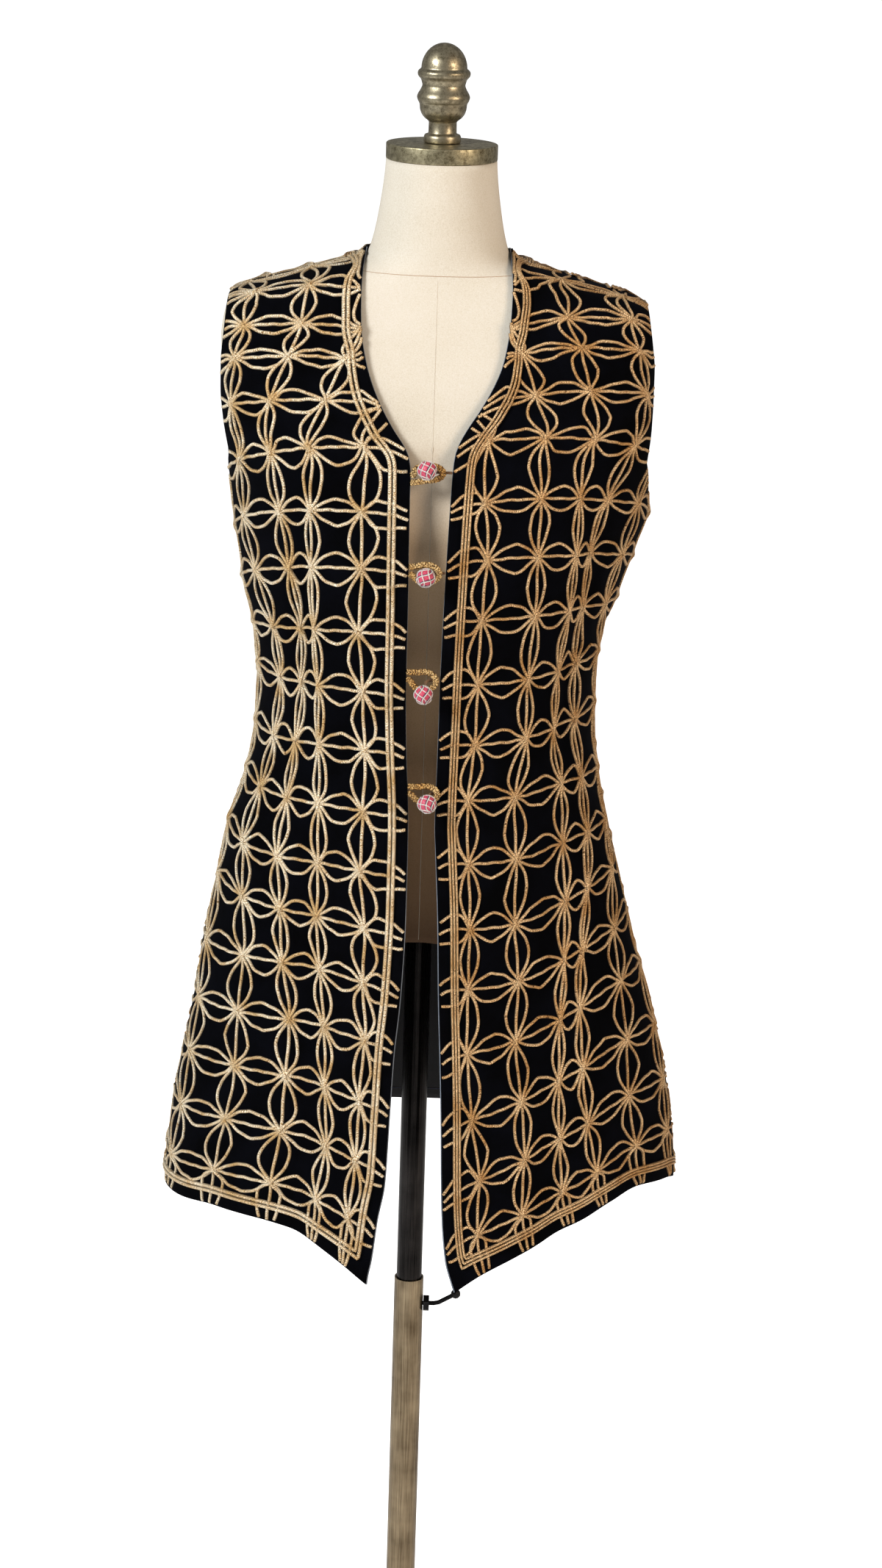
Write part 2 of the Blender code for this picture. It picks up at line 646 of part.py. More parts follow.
# ================================================================ turned and drawn pieces
def turned(name, profile, steps, finish, group, parent=None, closed=False, place=(0, 0, 0)):
    """A profile of (radius, height) pairs, down its outer side, turned about Z."""
    mesh = bpy.data.meshes.new(name)
    verts = [(radius, 0, z) for radius, z in profile]
    edges = [(i, i + 1) for i in range(len(verts) - 1)]
    if closed:
        edges.append((len(verts) - 1, 0))
    mesh.from_pydata(verts, edges, [])
    item = mesh_object(name, mesh, finish, group, parent)
    item.location = place
    screw = item.modifiers.new("Turned", "SCREW")
    screw.steps = screw.render_steps = steps
    screw.use_merge_vertices = True
    screw.merge_threshold = 1e-5
    screw.use_smooth_shade = True
    return item


def cord_mesh(points, radius, resolution):
    """A capped round cord through the points, as a closed mesh."""
    curve = bpy.data.curves.new("cord", "CURVE")
    curve.dimensions = "3D"
    curve.bevel_depth = radius
    curve.bevel_resolution = resolution
    curve.use_fill_caps = True
    spline = curve.splines.new("POLY")
    spline.points.add(len(points) - 1)
    for spot, point in zip(spline.points, points):
        spot.co = (*point, 1)
    holder = bpy.data.objects.new("cord", curve)
    bpy.context.scene.collection.objects.link(holder)
    bpy.context.view_layer.update()
    mesh = bpy.data.meshes.new_from_object(
        holder.evaluated_get(bpy.context.evaluated_depsgraph_get()))
    bpy.data.objects.remove(holder, do_unlink=True)
    bpy.data.curves.remove(curve)
    bm = bmesh.new()
    bm.from_mesh(mesh)
    bmesh.ops.remove_doubles(bm, verts=bm.verts[:], dist=1e-6)
    bmesh.ops.recalc_face_normals(bm, faces=bm.faces[:])
    bm.to_mesh(mesh)
    bm.free()
    return mesh


def ball_mesh(name, centre, radius, around, up):
    bm = bmesh.new()
    bmesh.ops.create_uvsphere(bm, u_segments=around, v_segments=up, radius=radius,
                              matrix=Matrix.Translation(centre))
    mesh = bpy.data.meshes.new(name)
    bm.to_mesh(mesh)
    bm.free()
    return mesh


def cylinder_mesh(name, start, end, radius, segments):
    """A closed cylinder or prism between two points."""
    axis = Vector(end) - Vector(start)
    turn = axis.to_track_quat("Z", "Y").to_matrix().to_4x4()
    bm = bmesh.new()
    bmesh.ops.create_cone(bm, cap_ends=True, segments=segments, radius1=radius, radius2=radius,
                          depth=axis.length,
                          matrix=Matrix.Translation((Vector(start) + Vector(end)) / 2) @ turn)
    mesh = bpy.data.meshes.new(name)
    bm.to_mesh(mesh)
    bm.free()
    return mesh


def cut_with(item, tool_mesh, operation, tools):
    """Join a tool to an object or cut it away, in the object's own frame."""
    tool = bpy.data.objects.new(f"{item.name}_tool", tool_mesh)
    tools.objects.link(tool)
    tool.hide_render = True
    tool.display_type = "WIRE"
    tool.parent = item.parent
    tool.location = item.location
    modifier = item.modifiers.new(operation.title(), "BOOLEAN")
    modifier.operation = operation
    modifier.object = tool
    return modifier


# ================================================================ the form and its stand
def build_torso(group, parent):
    """Padded torso and neck in linen, a stack of level sections."""
    bm = bmesh.new()
    heights = []
    for low, high in zip(FORM_RINGS, FORM_RINGS[1:]):
        parts = 2 if high.z - low.z > 0.035 else 1
        heights += [low.z + (high.z - low.z) * k / parts for k in range(parts)]
    heights.append(FORM_RINGS[-1].z)
    levels = len(heights) - 1
    bmesh.ops.create_grid(bm, x_segments=FORM_SEGMENTS, y_segments=levels, size=0.5)
    for vert in bm.verts:
        angle = 2 * pi * round((vert.co.x + 0.5) * FORM_SEGMENTS) / FORM_SEGMENTS
        z = heights[round((vert.co.y + 0.5) * levels)]
        ring = FormRing(z, *(between(FORM_RINGS, field, z) for field in FormRing._fields[1:]))
        ratio = sin(angle)
        reach = ring.front if cos(angle) > 0 else -ring.back
        depth = 0.0 if abs(cos(angle)) < 1e-6 else ring_depth(ratio, ring.corner)
        vert.co = Vector((ring.side * ratio, -reach * depth, z))
    bmesh.ops.remove_doubles(bm, verts=bm.verts[:], dist=1e-6)
    bmesh.ops.holes_fill(bm, edges=[edge for edge in bm.edges if edge.is_boundary])
    bmesh.ops.recalc_face_normals(bm, faces=bm.faces[:])
    mesh = bpy.data.meshes.new("form_torso")
    bm.to_mesh(mesh)
    bm.free()
    return mesh_object("form_torso", mesh, "linen", group, parent)


FINIAL_DOME_FOOT = 1.6564
FINIAL_DOME_RADIUS = 0.0215
FINIAL_DOME_TALL = 0.0236
FINIAL_DOME_STEPS = 5
FINIAL_SEAT_RADIUS = 0.0166
FINIAL_TURNING = [                      # (radius, height) from the dome down to its seat
    (0.0226, 1.6555), (0.0245, 1.6538), (0.0248, 1.6514), (0.0242, 1.6490), (0.0216, 1.6465),
    (0.0199, 1.6407), (0.0213, 1.6350), (0.0240, 1.6322), (0.0247, 1.6292), (0.0236, 1.6264),
    (0.0216, 1.6250), (0.0207, 1.6200), (0.0172, 1.6140), (0.0138, 1.6075), (0.0134, 1.6050),
    (0.0134, 1.5942), (0.0166, 1.5937), (0.0172, 1.5920), (0.0172, 1.5895)]


def build_neck_cap(group, parent):
    low = NECK_TOP + TOUCH
    high = low + CAP_THICK
    turned("neck_cap", [(0, high), (CAP_RADIUS - CAP_EDGE, high), (CAP_RADIUS, high - CAP_EDGE),
                        (CAP_RADIUS, low + CAP_EDGE), (CAP_RADIUS - CAP_EDGE, low), (0, low)],
           36, "antique_brass", group, parent)
    seat = high + TOUCH
    quarter = [pi / 2 * k / FINIAL_DOME_STEPS for k in range(FINIAL_DOME_STEPS + 1)]
    dome = [(FINIAL_DOME_RADIUS * sin(angle), FINIAL_DOME_FOOT + FINIAL_DOME_TALL * cos(angle))
            for angle in quarter]
    turned("finial", dome + FINIAL_TURNING + [(FINIAL_SEAT_RADIUS, seat), (0, seat)], 20,
           "antique_brass", group, parent)


def build_stand(group, tools):
    edge = BASE_BEVEL
    turned("base_plate", [(0, BASE_THICK), (BASE_RADIUS - edge, BASE_THICK),
                          (BASE_RADIUS - edge * 0.3, BASE_THICK - edge * 0.3),
                          (BASE_RADIUS, BASE_THICK - edge), (BASE_RADIUS, edge * 0.4),
                          (BASE_RADIUS - edge * 0.4, 0), (0, 0)],
           48, "bronzed_steel", group)
    inner = TUBE_RADIUS - TUBE_WALL
    foot = BASE_THICK + TOUCH
    shoulder = foot + COLLAR_TALL
    tube = turned("lower_tube", [(TUBE_RADIUS, TUBE_TOP), (TUBE_RADIUS, shoulder),
                                 (COLLAR_RADIUS - COLLAR_BEVEL, shoulder),
                                 (COLLAR_RADIUS, shoulder - COLLAR_BEVEL), (COLLAR_RADIUS, foot),
                                 (inner, foot), (inner, TUBE_TOP)],
                  28, "bronzed_steel", group, closed=True)
    nut_start = TUBE_RADIUS + TOUCH
    nut_end = nut_start + NUT_THICK
    nut = mesh_object("clamp_nut", cylinder_mesh(
        "clamp_nut", (nut_start, 0, CLAMP_Z), (nut_end, 0, CLAMP_Z),
        NUT_ACROSS / 2 / cos(pi / 6), 6), "black_steel", group)
    for drilled in (tube, nut):
        bore = cylinder_mesh("bore", (inner / 2, 0, CLAMP_Z), (2 * nut_end, 0, CLAMP_Z), STUD_BORE, 12)
        cut_with(drilled, bore, "DIFFERENCE", tools)


def build_clamp(group, tools, axis):
    """Stud, bent rod and knob in one piece, about the stud's axis."""
    tip = POLE_RADIUS + TOUCH
    bend = TUBE_RADIUS + TOUCH + NUT_THICK + STUD_PROUD
    knob = Vector((KNOB_REACH, 0, KNOB_LIFT))
    rod = cord_mesh([(tip, 0, 0), (bend, 0, 0), (bend + ROD_BEND[0], 0, ROD_BEND[1]), knob],
                    ROD_RADIUS, 2)
    lever = mesh_object("clamp_lever", rod, "black_steel", group, axis)
    cut_with(lever, ball_mesh("knob", knob, KNOB_RADIUS, 14, 10), "UNION", tools)


def build_pole(group, parent, lift):
    inner = POLE_RADIUS - POLE_WALL
    top = FORM_BOTTOM - TOUCH - lift
    foot = POLE_FOOT - lift
    turned("inner_pole", [(POLE_RADIUS, top), (POLE_RADIUS, foot), (inner, foot), (inner, top)],
           28, "black_steel", group, parent, closed=True)


# ================================================================ fastenings
def build_fastenings(group, tools, parent):
    for number, fastening in enumerate(FASTENINGS, start=1):
        z = fastening.z
        right = surface_point(between(FRONT_EDGES, "right", z), z, -1)
        left = surface_point(between(FRONT_EDGES, "left", z), z, -1)
        centre = right.lerp(left, fastening.share)
        centre.y -= BUTTON_PROUD
        sewn_z = z + fastening.above
        sewn = surface_point(between(FRONT_EDGES, "left", sewn_z), sewn_z, -1)
        build_button(number, centre, sewn, group, tools, parent)
        build_loop(number, centre, fastening, group, parent)


def build_button(number, centre, edge, group, tools, parent):
    """A knotted ball with a cord shank that runs through the loop to the left front."""
    inside = centre + Vector((*SHANK_START, 0))
    knee = centre + Vector((*SHANK_KNEE, edge.z - centre.z))
    seat = Vector((edge.x - EDGE_SEAT, edge.y + VELVET / 2, edge.z))
    behind = Vector((min(centre.x + SHANK_TURN, seat.x - CORD_STRAIGHT),
                     centre.y + SHANK_BEHIND, edge.z))
    name = f"button_{number}"
    ball = mesh_object(name, ball_mesh(name, centre, BUTTON_RADIUS, 14, 10), "button_silk",
                       group, parent)
    shank = cord_mesh([inside, knee, behind, seat], SHANK_RADIUS, 1)
    cut_with(ball, shank, "UNION", tools)


def build_loop(number, centre, fastening, group, parent):
    """A cord loop from the right front's edge, round behind the button's ball."""
    root_z = fastening.z + fastening.rise
    edge = surface_point(between(FRONT_EDGES, "right", root_z), root_z, -1)
    root = Vector((edge.x + EDGE_SEAT, edge.y + VELVET / 2, root_z))
    wide, tall = fastening.half_wide, fastening.half_tall
    middle = centre + Vector((fastening.aside, LOOP_BEHIND, fastening.above))
    turn = atan2((root_z - middle.z) / tall, (root.x - middle.x) / wide)
    ring = []
    for k in range(LOOP_POINTS + 1):
        angle = turn - LOOP_OPEN - 2 * (pi - LOOP_OPEN) * k / LOOP_POINTS
        ring.append(middle + Vector((wide * cos(angle), 0, tall * sin(angle))))
    side = Vector((0, 0, LOOP_APART))
    straight = Vector((CORD_STRAIGHT, 0, 0))
    path = [root + side, root + side + straight] + ring
    path += [root - side + straight, root - side]
    mesh = cord_mesh(path, LOOP_RADIUS, 1)
    mesh_object(f"loop_{number}", mesh, "gold_braid", group, parent)


def main():
    clear_scene()
    parts = new_collection("embroidered_waistcoat_on_form")
    tools = new_collection("cutters")
    build_stand(parts, tools)
    clamp_axis = pivot("clamp_axis", (0, 0, CLAMP_Z), parts)
    build_clamp(parts, tools, clamp_axis)
    slide = pivot("height_slide", (0, 0, TUBE_TOP), parts)
    build_pole(parts, slide, TUBE_TOP)
    swivel = pivot("form_swivel", (0, 0, 0), parts)
    build_torso(parts, swivel)
    build_neck_cap(parts, swivel)
    build_fronts(parts, swivel)
    build_back(parts, swivel)
    build_fastenings(parts, tools, swivel)


main()
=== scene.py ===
import time
from functools import partial
from math import asin, atan2, cos, pi, radians, sin

import bmesh
import bpy
import numpy as np
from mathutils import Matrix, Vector


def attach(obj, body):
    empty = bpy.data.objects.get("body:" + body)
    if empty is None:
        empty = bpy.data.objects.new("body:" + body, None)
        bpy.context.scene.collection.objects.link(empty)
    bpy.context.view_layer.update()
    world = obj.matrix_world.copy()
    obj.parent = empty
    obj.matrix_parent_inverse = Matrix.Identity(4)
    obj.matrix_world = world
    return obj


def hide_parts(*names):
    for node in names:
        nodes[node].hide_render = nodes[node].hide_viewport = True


# Long embroidered velvet waistcoat on a dress form with its stand.  Metres, +Z up, the
# front faces -Y.  "Right" and "left" are the wearer's, so the right front lies at -X.

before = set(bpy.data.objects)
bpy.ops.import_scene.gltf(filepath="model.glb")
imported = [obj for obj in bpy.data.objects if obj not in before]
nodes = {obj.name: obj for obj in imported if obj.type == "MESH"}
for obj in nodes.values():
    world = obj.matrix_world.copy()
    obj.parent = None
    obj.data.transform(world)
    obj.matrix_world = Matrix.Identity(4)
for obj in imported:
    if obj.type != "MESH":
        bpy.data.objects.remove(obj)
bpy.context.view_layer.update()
mm = 0.001
startTime = time.time()


def report(stage):
    print(f"{stage}: {time.time() - startTime:.1f} s")


def hexColour(code):
    # sRGB hex to linear, with full alpha
    parts = [int(code[k:k + 2], 16) / 255 for k in (1, 3, 5)]
    linear = [c / 12.92 if c <= 0.04045 else ((c + 0.055) / 1.055) ** 2.4 for c in parts]
    return (*linear, 1.0)


def setInputs(tree, node, values):
    # Another node's output is linked; a number or a hex colour is set.
    for name, value in values.items():
        socket = node.inputs[name]
        if isinstance(value, bpy.types.NodeSocket):
            tree.links.new(value, socket)
        else:
            socket.default_value = hexColour(value) if isinstance(value, str) else value


def addNode(tree, kind, values, out=0, stops=(), **settings):
    # Adds one node with its settings, inputs and colour stops, and gives back one output.
    node = tree.nodes.new(f"ShaderNode{kind}")
    for name, value in settings.items():
        setattr(node, name, value)
    setInputs(tree, node, values)
    elements = node.color_ramp.elements if stops else []
    while len(elements) < len(stops):
        elements.new(0.5)
    for element, (place, colour) in zip(elements, stops):
        element.position = place
        element.color = hexColour(colour) if isinstance(colour, str) else (*[colour] * 3, 1.0)
    return node.outputs[out]


def newMaterial(name, values):
    material = bpy.data.materials.new(name)
    material.use_nodes = True
    shader = material.node_tree.nodes["Principled BSDF"]
    setInputs(material.node_tree, shader, values)
    return material, material.node_tree, shader


def makeVelvet(name, base, high):
    # Cotton velvet, piece-dyed blue-black: the cut pile swallows the light and gives only a faint
    # sheen.  Broad patches of painted sheen, where the pile lies another way, lighten the base
    # colour.
    material, tree, shader = newMaterial(name, {
        "Roughness": 0.95, "Sheen Weight": 0.03, "Sheen Roughness": 0.4,
        "Sheen Tint": "#39415f", "Specular IOR Level": 0.05})
    coords = addNode(tree, "TexCoord", {}, "Object")
    # painted sheen: broad patches a little lighter in the base colour
    sheenPatches = addNode(tree, "TexNoise", {
        "Vector": coords, "Scale": 1 / (46 * mm), "Detail": 3.0, "Roughness": 0.6})
    pile = addNode(tree, "TexNoise", {      # the real pile is finer; coarse enough to show
        "Vector": coords, "Scale": 1 / (1.1 * mm), "Detail": 2.0, "Roughness": 0.7})
    broad = addNode(tree, "Math", {0: sheenPatches, 1: 0.80}, operation="MULTIPLY")
    tone = addNode(tree, "Math", {0: pile, 1: 0.30, 2: broad}, operation="MULTIPLY_ADD")
    setInputs(tree, shader, {
        "Base Color": addNode(tree, "ValToRGB", {"Fac": tone}, stops=[(0.42, base), (0.80, high)]),
        "Normal": addNode(tree, "Bump", {"Height": pile, "Distance": 0.4 * mm, "Strength": 0.4})})
    return material


def makeCord(name, light, middle, dark, stitch=1.9 * mm, rough=(0.34, 0.58)):
    # Metallic yarn round a cotton core, worked in chain stitch: slanting loops of uneven length,
    # with painted shade in the gaps and painted glints on the loops and where the metal strip turns
    # up.
    material, tree, shader = newMaterial(name, {"Metallic": 0.35, "Specular IOR Level": 0.5})
    coords = addNode(tree, "TexCoord", {}, "Object")
    uv = addNode(tree, "TexCoord", {}, "UV")
    along = addNode(tree, "SeparateXYZ", {0: uv}, "X")
    offMiddle = addNode(tree, "SeparateXYZ", {0: uv}, "Y")
    across = addNode(tree, "Math", {0: offMiddle}, operation="ABSOLUTE")
    # each stitch slants back from the middle of the cord and starts a little off its place
    uneven = addNode(tree, "TexNoise", {"Vector": coords, "Scale": 1 / (5.0 * mm)})
    astray = addNode(tree, "Math", {0: uneven, 1: 7 * mm}, operation="MULTIPLY")
    slant = addNode(tree, "Math", {0: across, 1: 1.5 * mm, 2: astray}, operation="MULTIPLY_ADD")
    place = addNode(tree, "Math", {0: along, 1: slant}, operation="ADD")
    stitches = addNode(tree, "Math", {0: place, 1: stitch}, operation="DIVIDE")
    share = addNode(tree, "Math", {0: stitches}, operation="FRACT")
    halfTurn = addNode(tree, "Math", {0: share, 1: pi}, operation="MULTIPLY")
    loop = addNode(tree, "Math", {0: halfTurn}, operation="SINE")
    fleck = addNode(tree, "TexNoise", {
        "Vector": coords, "Scale": 1 / (1.0 * mm), "Detail": 3.0, "Roughness": 0.8})
    raised = addNode(tree, "Math", {0: loop, 1: 0.30}, operation="MULTIPLY")
    glint = addNode(tree, "Math", {0: fleck, 1: 1.00, 2: raised}, operation="MULTIPLY_ADD")
    # painted light in the base colour: shade in the gaps between loops, glints on loops and flecks
    body = addNode(tree, "ValToRGB", {"Fac": glint},
                   stops=[(0.53, dark), (0.67, middle), (0.80, light)])
    # the yarn has browned here and there, and its flanks lie in the pile's shade
    worn = addNode(tree, "TexNoise", {"Vector": coords, "Scale": 1 / (24 * mm)})
    aged = addNode(tree, "ValToRGB", {"Fac": worn}, stops=[(0.34, "#dcc6a0"), (0.60, "#ffffff")])
    flank = addNode(tree, "ValToRGB", {"Fac": across}, stops=[(0.45, 1.0), (1.0, 0.22)])
    toned = addNode(tree, "Mix", {0: 1.0, 6: body, 7: aged}, 2,
                    data_type="RGBA", blend_type="MULTIPLY")
    setInputs(tree, shader, {
        "Base Color": addNode(tree, "Mix", {0: 1.0, 6: toned, 7: flank}, 2,
                              data_type="RGBA", blend_type="MULTIPLY"),
        "Roughness": addNode(tree, "ValToRGB", {"Fac": fleck},
                             stops=[(0.3, rough[1]), (0.7, rough[0])]),
        "Normal": addNode(tree, "Bump", {"Height": glint, "Distance": 0.8 * mm,
                                         "Strength": 0.85})})
    return material


def makeLining(name, base, high, thread):
    # Cotton sateen, plain dyed and faintly slubbed.  Its threads are drawn coarser than they
    # are, so that they show.
    material, tree, shader = newMaterial(name, {"Roughness": 0.78, "Sheen Weight": 0.05})
    coords = addNode(tree, "TexCoord", {}, "Object")
    threads = addNode(tree, "TexVoronoi", {"Vector": coords, "Scale": 1 / thread}, "Distance")
    cloudy = addNode(tree, "TexNoise", {
        "Vector": coords, "Scale": 1 / (22 * mm), "Detail": 3.0})
    woven = addNode(tree, "Math", {0: threads, 1: 0.4}, operation="MULTIPLY")
    tone = addNode(tree, "Math", {0: cloudy, 1: 0.7, 2: woven}, operation="MULTIPLY_ADD")
    setInputs(tree, shader, {
        "Base Color": addNode(tree, "ValToRGB", {"Fac": tone}, stops=[(0.25, base), (0.75, high)]),
        "Normal": addNode(tree, "Bump", {"Height": threads, "Distance": 0.25 * mm,
                                         "Strength": 0.5})})
    return material


def makeLinen(name, cream, paintedShade, foot, tall):
    # Unbleached linen stretched over a hard form: plain weave with slubs, in warm cream, with
    # painted warm shade that makes it darker and browner lower down.
    material, tree, shader = newMaterial(name, {
        "Roughness": 0.88, "Sheen Weight": 0.08, "Specular IOR Level": 0.25})
    coords = addNode(tree, "TexCoord", {}, "Object")
    waves = []
    for axis in ("X", "Z"):     # one wave over two threads, which are about 0.5 mm apart
        way = addNode(tree, "SeparateXYZ", {0: coords}, axis)
        turn = addNode(tree, "Math", {0: way, 1: 2 * pi / (1.0 * mm)}, operation="MULTIPLY")
        waves.append(addNode(tree, "Math", {0: turn}, operation="SINE"))
    weave = addNode(tree, "Math", {0: waves[0], 1: waves[1]}, operation="MULTIPLY")
    slub = addNode(tree, "TexNoise", {
        "Vector": coords, "Scale": 1 / (1.1 * mm), "Detail": 2.0, "Roughness": 0.6})
    cloudy = addNode(tree, "TexNoise", {"Vector": coords, "Scale": 1 / (90 * mm)})
    broad = addNode(tree, "Math", {0: cloudy, 1: 0.30}, operation="MULTIPLY")
    tone = addNode(tree, "Math", {0: slub, 1: 0.55, 2: broad}, operation="MULTIPLY_ADD")
    linenTone = addNode(tree, "ValToRGB", {"Fac": tone}, stops=cream)
    # painted warm shade, set by height alone: darker and browner towards the form's foot
    above = addNode(tree, "Math", {
        0: addNode(tree, "SeparateXYZ", {0: coords}, "Z"), 1: foot}, operation="SUBTRACT")
    share = addNode(tree, "Math", {0: above, 1: tall}, operation="DIVIDE")
    shadeTint = addNode(tree, "ValToRGB", {"Fac": share}, stops=paintedShade)
    raised = addNode(tree, "Math", {0: weave, 1: 0.3, 2: slub}, operation="MULTIPLY_ADD")
    setInputs(tree, shader, {
        "Base Color": addNode(tree, "Mix", {0: 1.0, 6: linenTone, 7: shadeTint}, 2,
                              data_type="RGBA", blend_type="MULTIPLY"),
        "Normal": addNode(tree, "Bump", {"Height": raised, "Distance": 0.15 * mm,
                                         "Strength": 0.35})})
    return material


def makeBrass(name, light, dark, rough):
    # Cast brass, antiqued in a dark bath and rubbed back on the high places: a cloudy mottle
    # with a fine sand-cast grain, which is drawn coarser than it is.
    material, tree, shader = newMaterial(name, {"Metallic": 0.9})
    coords = addNode(tree, "TexCoord", {}, "Object")
    mottle = addNode(tree, "TexNoise", {
        "Vector": coords, "Scale": 1 / (5 * mm), "Detail": 4.0, "Roughness": 0.7})
    grain = addNode(tree, "TexNoise", {
        "Vector": coords, "Scale": 1 / (0.9 * mm), "Detail": 2.0, "Roughness": 0.7})
    broad = addNode(tree, "Math", {0: mottle, 1: 0.75}, operation="MULTIPLY")
    tone = addNode(tree, "Math", {0: grain, 1: 0.35, 2: broad}, operation="MULTIPLY_ADD")
    setInputs(tree, shader, {
        "Base Color": addNode(tree, "ValToRGB", {"Fac": tone}, stops=[(0.38, dark), (0.68, light)]),
        "Roughness": addNode(tree, "ValToRGB", {"Fac": tone},
                             stops=[(0.35, rough + 0.16), (0.7, rough)]),
        "Normal": addNode(tree, "Bump", {"Height": tone, "Distance": 0.35 * mm,
                                         "Strength": 0.5})})
    return material


def makeSteel(name, light, dark, rough, streak):
    # Drawn steel under a bronzing lacquer, with the draw lines showing through, coarser than
    # they are.  The streak stretches them: a small last number runs them up the piece.
    material, tree, shader = newMaterial(name, {"Metallic": 0.9})
    coords = addNode(tree, "TexCoord", {}, "Object")
    drawn = addNode(tree, "Mapping", {"Vector": coords, "Scale": streak})
    lines = addNode(tree, "TexNoise", {
        "Vector": drawn, "Scale": 1 / (1.2 * mm), "Detail": 3.0, "Roughness": 0.6})
    cloudy = addNode(tree, "TexNoise", {
        "Vector": coords, "Scale": 1 / (35 * mm), "Detail": 3.0})
    broad = addNode(tree, "Math", {0: cloudy, 1: 0.5}, operation="MULTIPLY")
    tone = addNode(tree, "Math", {0: lines, 1: 0.5, 2: broad}, operation="MULTIPLY_ADD")
    setInputs(tree, shader, {
        "Base Color": addNode(tree, "ValToRGB", {"Fac": tone}, stops=[(0.35, dark), (0.65, light)]),
        "Roughness": addNode(tree, "ValToRGB", {"Fac": lines},
                             stops=[(0.3, rough + 0.12), (0.7, rough)]),
        "Normal": addNode(tree, "Bump", {"Height": lines, "Distance": 0.08 * mm,
                                         "Strength": 0.5})})
    return material


def makeThread(name, light, dark, ply, rough=0.5):
    # Twisted thread: the plies slant round it and catch the light one by one.
    material, tree, shader = newMaterial(name, {"Roughness": rough, "Sheen Weight": 0.15})
    coords = addNode(tree, "TexCoord", {}, "Object")
    uv = addNode(tree, "TexCoord", {}, "UV")
    twist = addNode(tree, "Math", {0: addNode(tree, "SeparateXYZ", {0: uv}, "X"),
                                   1: addNode(tree, "SeparateXYZ", {0: uv}, "Y")},
                    operation="ADD")
    turn = addNode(tree, "Math", {0: twist, 1: 2 * pi / ply}, operation="MULTIPLY")
    plies = addNode(tree, "Math", {0: turn}, operation="SINE")
    fuzz = addNode(tree, "TexNoise", {"Vector": coords, "Scale": 1 / (0.8 * mm)})
    tone = addNode(tree, "Math", {0: plies, 1: 0.22, 2: fuzz}, operation="MULTIPLY_ADD")
    setInputs(tree, shader, {
        "Base Color": addNode(tree, "ValToRGB", {"Fac": tone}, stops=[(0.25, dark), (0.7, light)]),
        "Normal": addNode(tree, "Bump", {"Height": plies, "Distance": 0.2 * mm,
                                         "Strength": 0.6})})
    return material


alongPiece, allWays = (1.0, 1.0, 0.02), (1.0, 1.0, 1.0)     # how the draw lines stretch
velvetMaterial = makeVelvet("cotton_velvet_blue_black", "#000001", "#04050b")
# the right front's yarn is paler and the left's deeper and more orange: painted light, the white
# key falling on the right front and the warm fill on the left
paleCord = makeCord("metallic_yarn_pale_gold", "#fffbea", "#f2cf94", "#644319")
deepCord = makeCord("metallic_yarn_deep_gold", "#ffe0ae", "#c59660", "#472c10")
loopCord = makeCord("metallic_yarn_plaited", "#f2d59a", "#a67f47", "#33210c", 2.6 * mm)
darkLining = makeLining("sateen_lining_navy", "#030407", "#0c0e13", 0.8 * mm)
paleFacing = makeLining("cotton_facing_grey_blue", "#59616d", "#868e99", 0.8 * mm)
linenMaterial = makeLinen(
    "unbleached_linen_cover", foot=0.80, tall=0.60,
    cream=[(0.25, "#c3b9a6"), (0.42, "#d1c9b9"), (0.60, "#d9d3c8")],
    # painted warm shade by height, from the form's foot up
    paintedShade=[(0.03, "#8a6f5b"), (0.25, "#e0bd9c"), (0.42, "#ffdfbe"), (0.67, "#ffe6cb"),
            (0.88, "#ffffff")])
capBrass = makeBrass("antiqued_brass_cap", "#b4ab8c", "#4d452f", 0.34)
finialBrass = makeBrass("antiqued_brass_finial", "#b0a68c", "#564f3d", 0.30)
tubeSteel = makeSteel("bronzed_steel_tube", "#a8977b", "#5a4c39", 0.28, alongPiece)
baseSteel = makeSteel("bronzed_steel_plate", "#77685a", "#453b32", 0.34, allWays)
# the pole is darker steel than the tube, and its near-black is partly painted shade from inside the
# coat
poleSteel = makeSteel("gunmetal_steel_pole_with_painted_shade", "#33302f", "#0c0b0b", 0.22, alongPiece)
blackSteel = makeSteel("blackened_steel_clamp", "#2e2e30", "#131314", 0.36, allWays)
roseSilk = makeThread("twisted_silk_rose", "#e0526f", "#8f1f3c", 1.1 * mm)
whiteThread = makeThread("silver_thread_white", "#fbf7f2", "#b9b2ae", 0.8 * mm, 0.35)
navySilk = makeThread("twisted_silk_navy", "#2d3558", "#12162b", 0.8 * mm)
brownCord = makeThread("twisted_cotton_brown", "#8a6440", "#33210f", 1.2 * mm)
seamThread = makeThread("linen_thread_seam", "#efe5d3", "#dccdb4", 1.0 * mm)
neckThread = makeThread("linen_thread_russet", "#d2b89b", "#b8967a", 1.0 * mm)
report("materials")


def curveThrough(xs, ys):
    # A smooth curve through measured places that never overshoots them.
    xs, ys = np.array(xs, float), np.array(ys, float)
    steps = np.diff(ys) / np.diff(xs)
    slopes = np.zeros(len(xs))
    slopes[0], slopes[-1] = steps[0], steps[-1]
    before, after = steps[:-1], steps[1:]
    same = before * after > 0
    slopes[1:-1][same] = 2 * before[same] * after[same] / (before[same] + after[same])

    def at(x):
        x = np.clip(x, xs[0], xs[-1])
        k = np.clip(np.searchsorted(xs, x, side="right") - 1, 0, len(xs) - 2)
        width = xs[k + 1] - xs[k]
        t = (x - xs[k]) / width
        return (ys[k] * (1 + 2 * t) * (1 - t) ** 2 + slopes[k] * width * t * (1 - t) ** 2
                + ys[k + 1] * t * t * (3 - 2 * t) - slopes[k + 1] * width * t * t * (1 - t))
    return at


def tableCurves(keys, rows):
    # One such curve over height for each column of a table.
    columns = list(zip(*rows))
    return {key: curveThrough(columns[0], column) for key, column in zip(keys, columns[1:])}


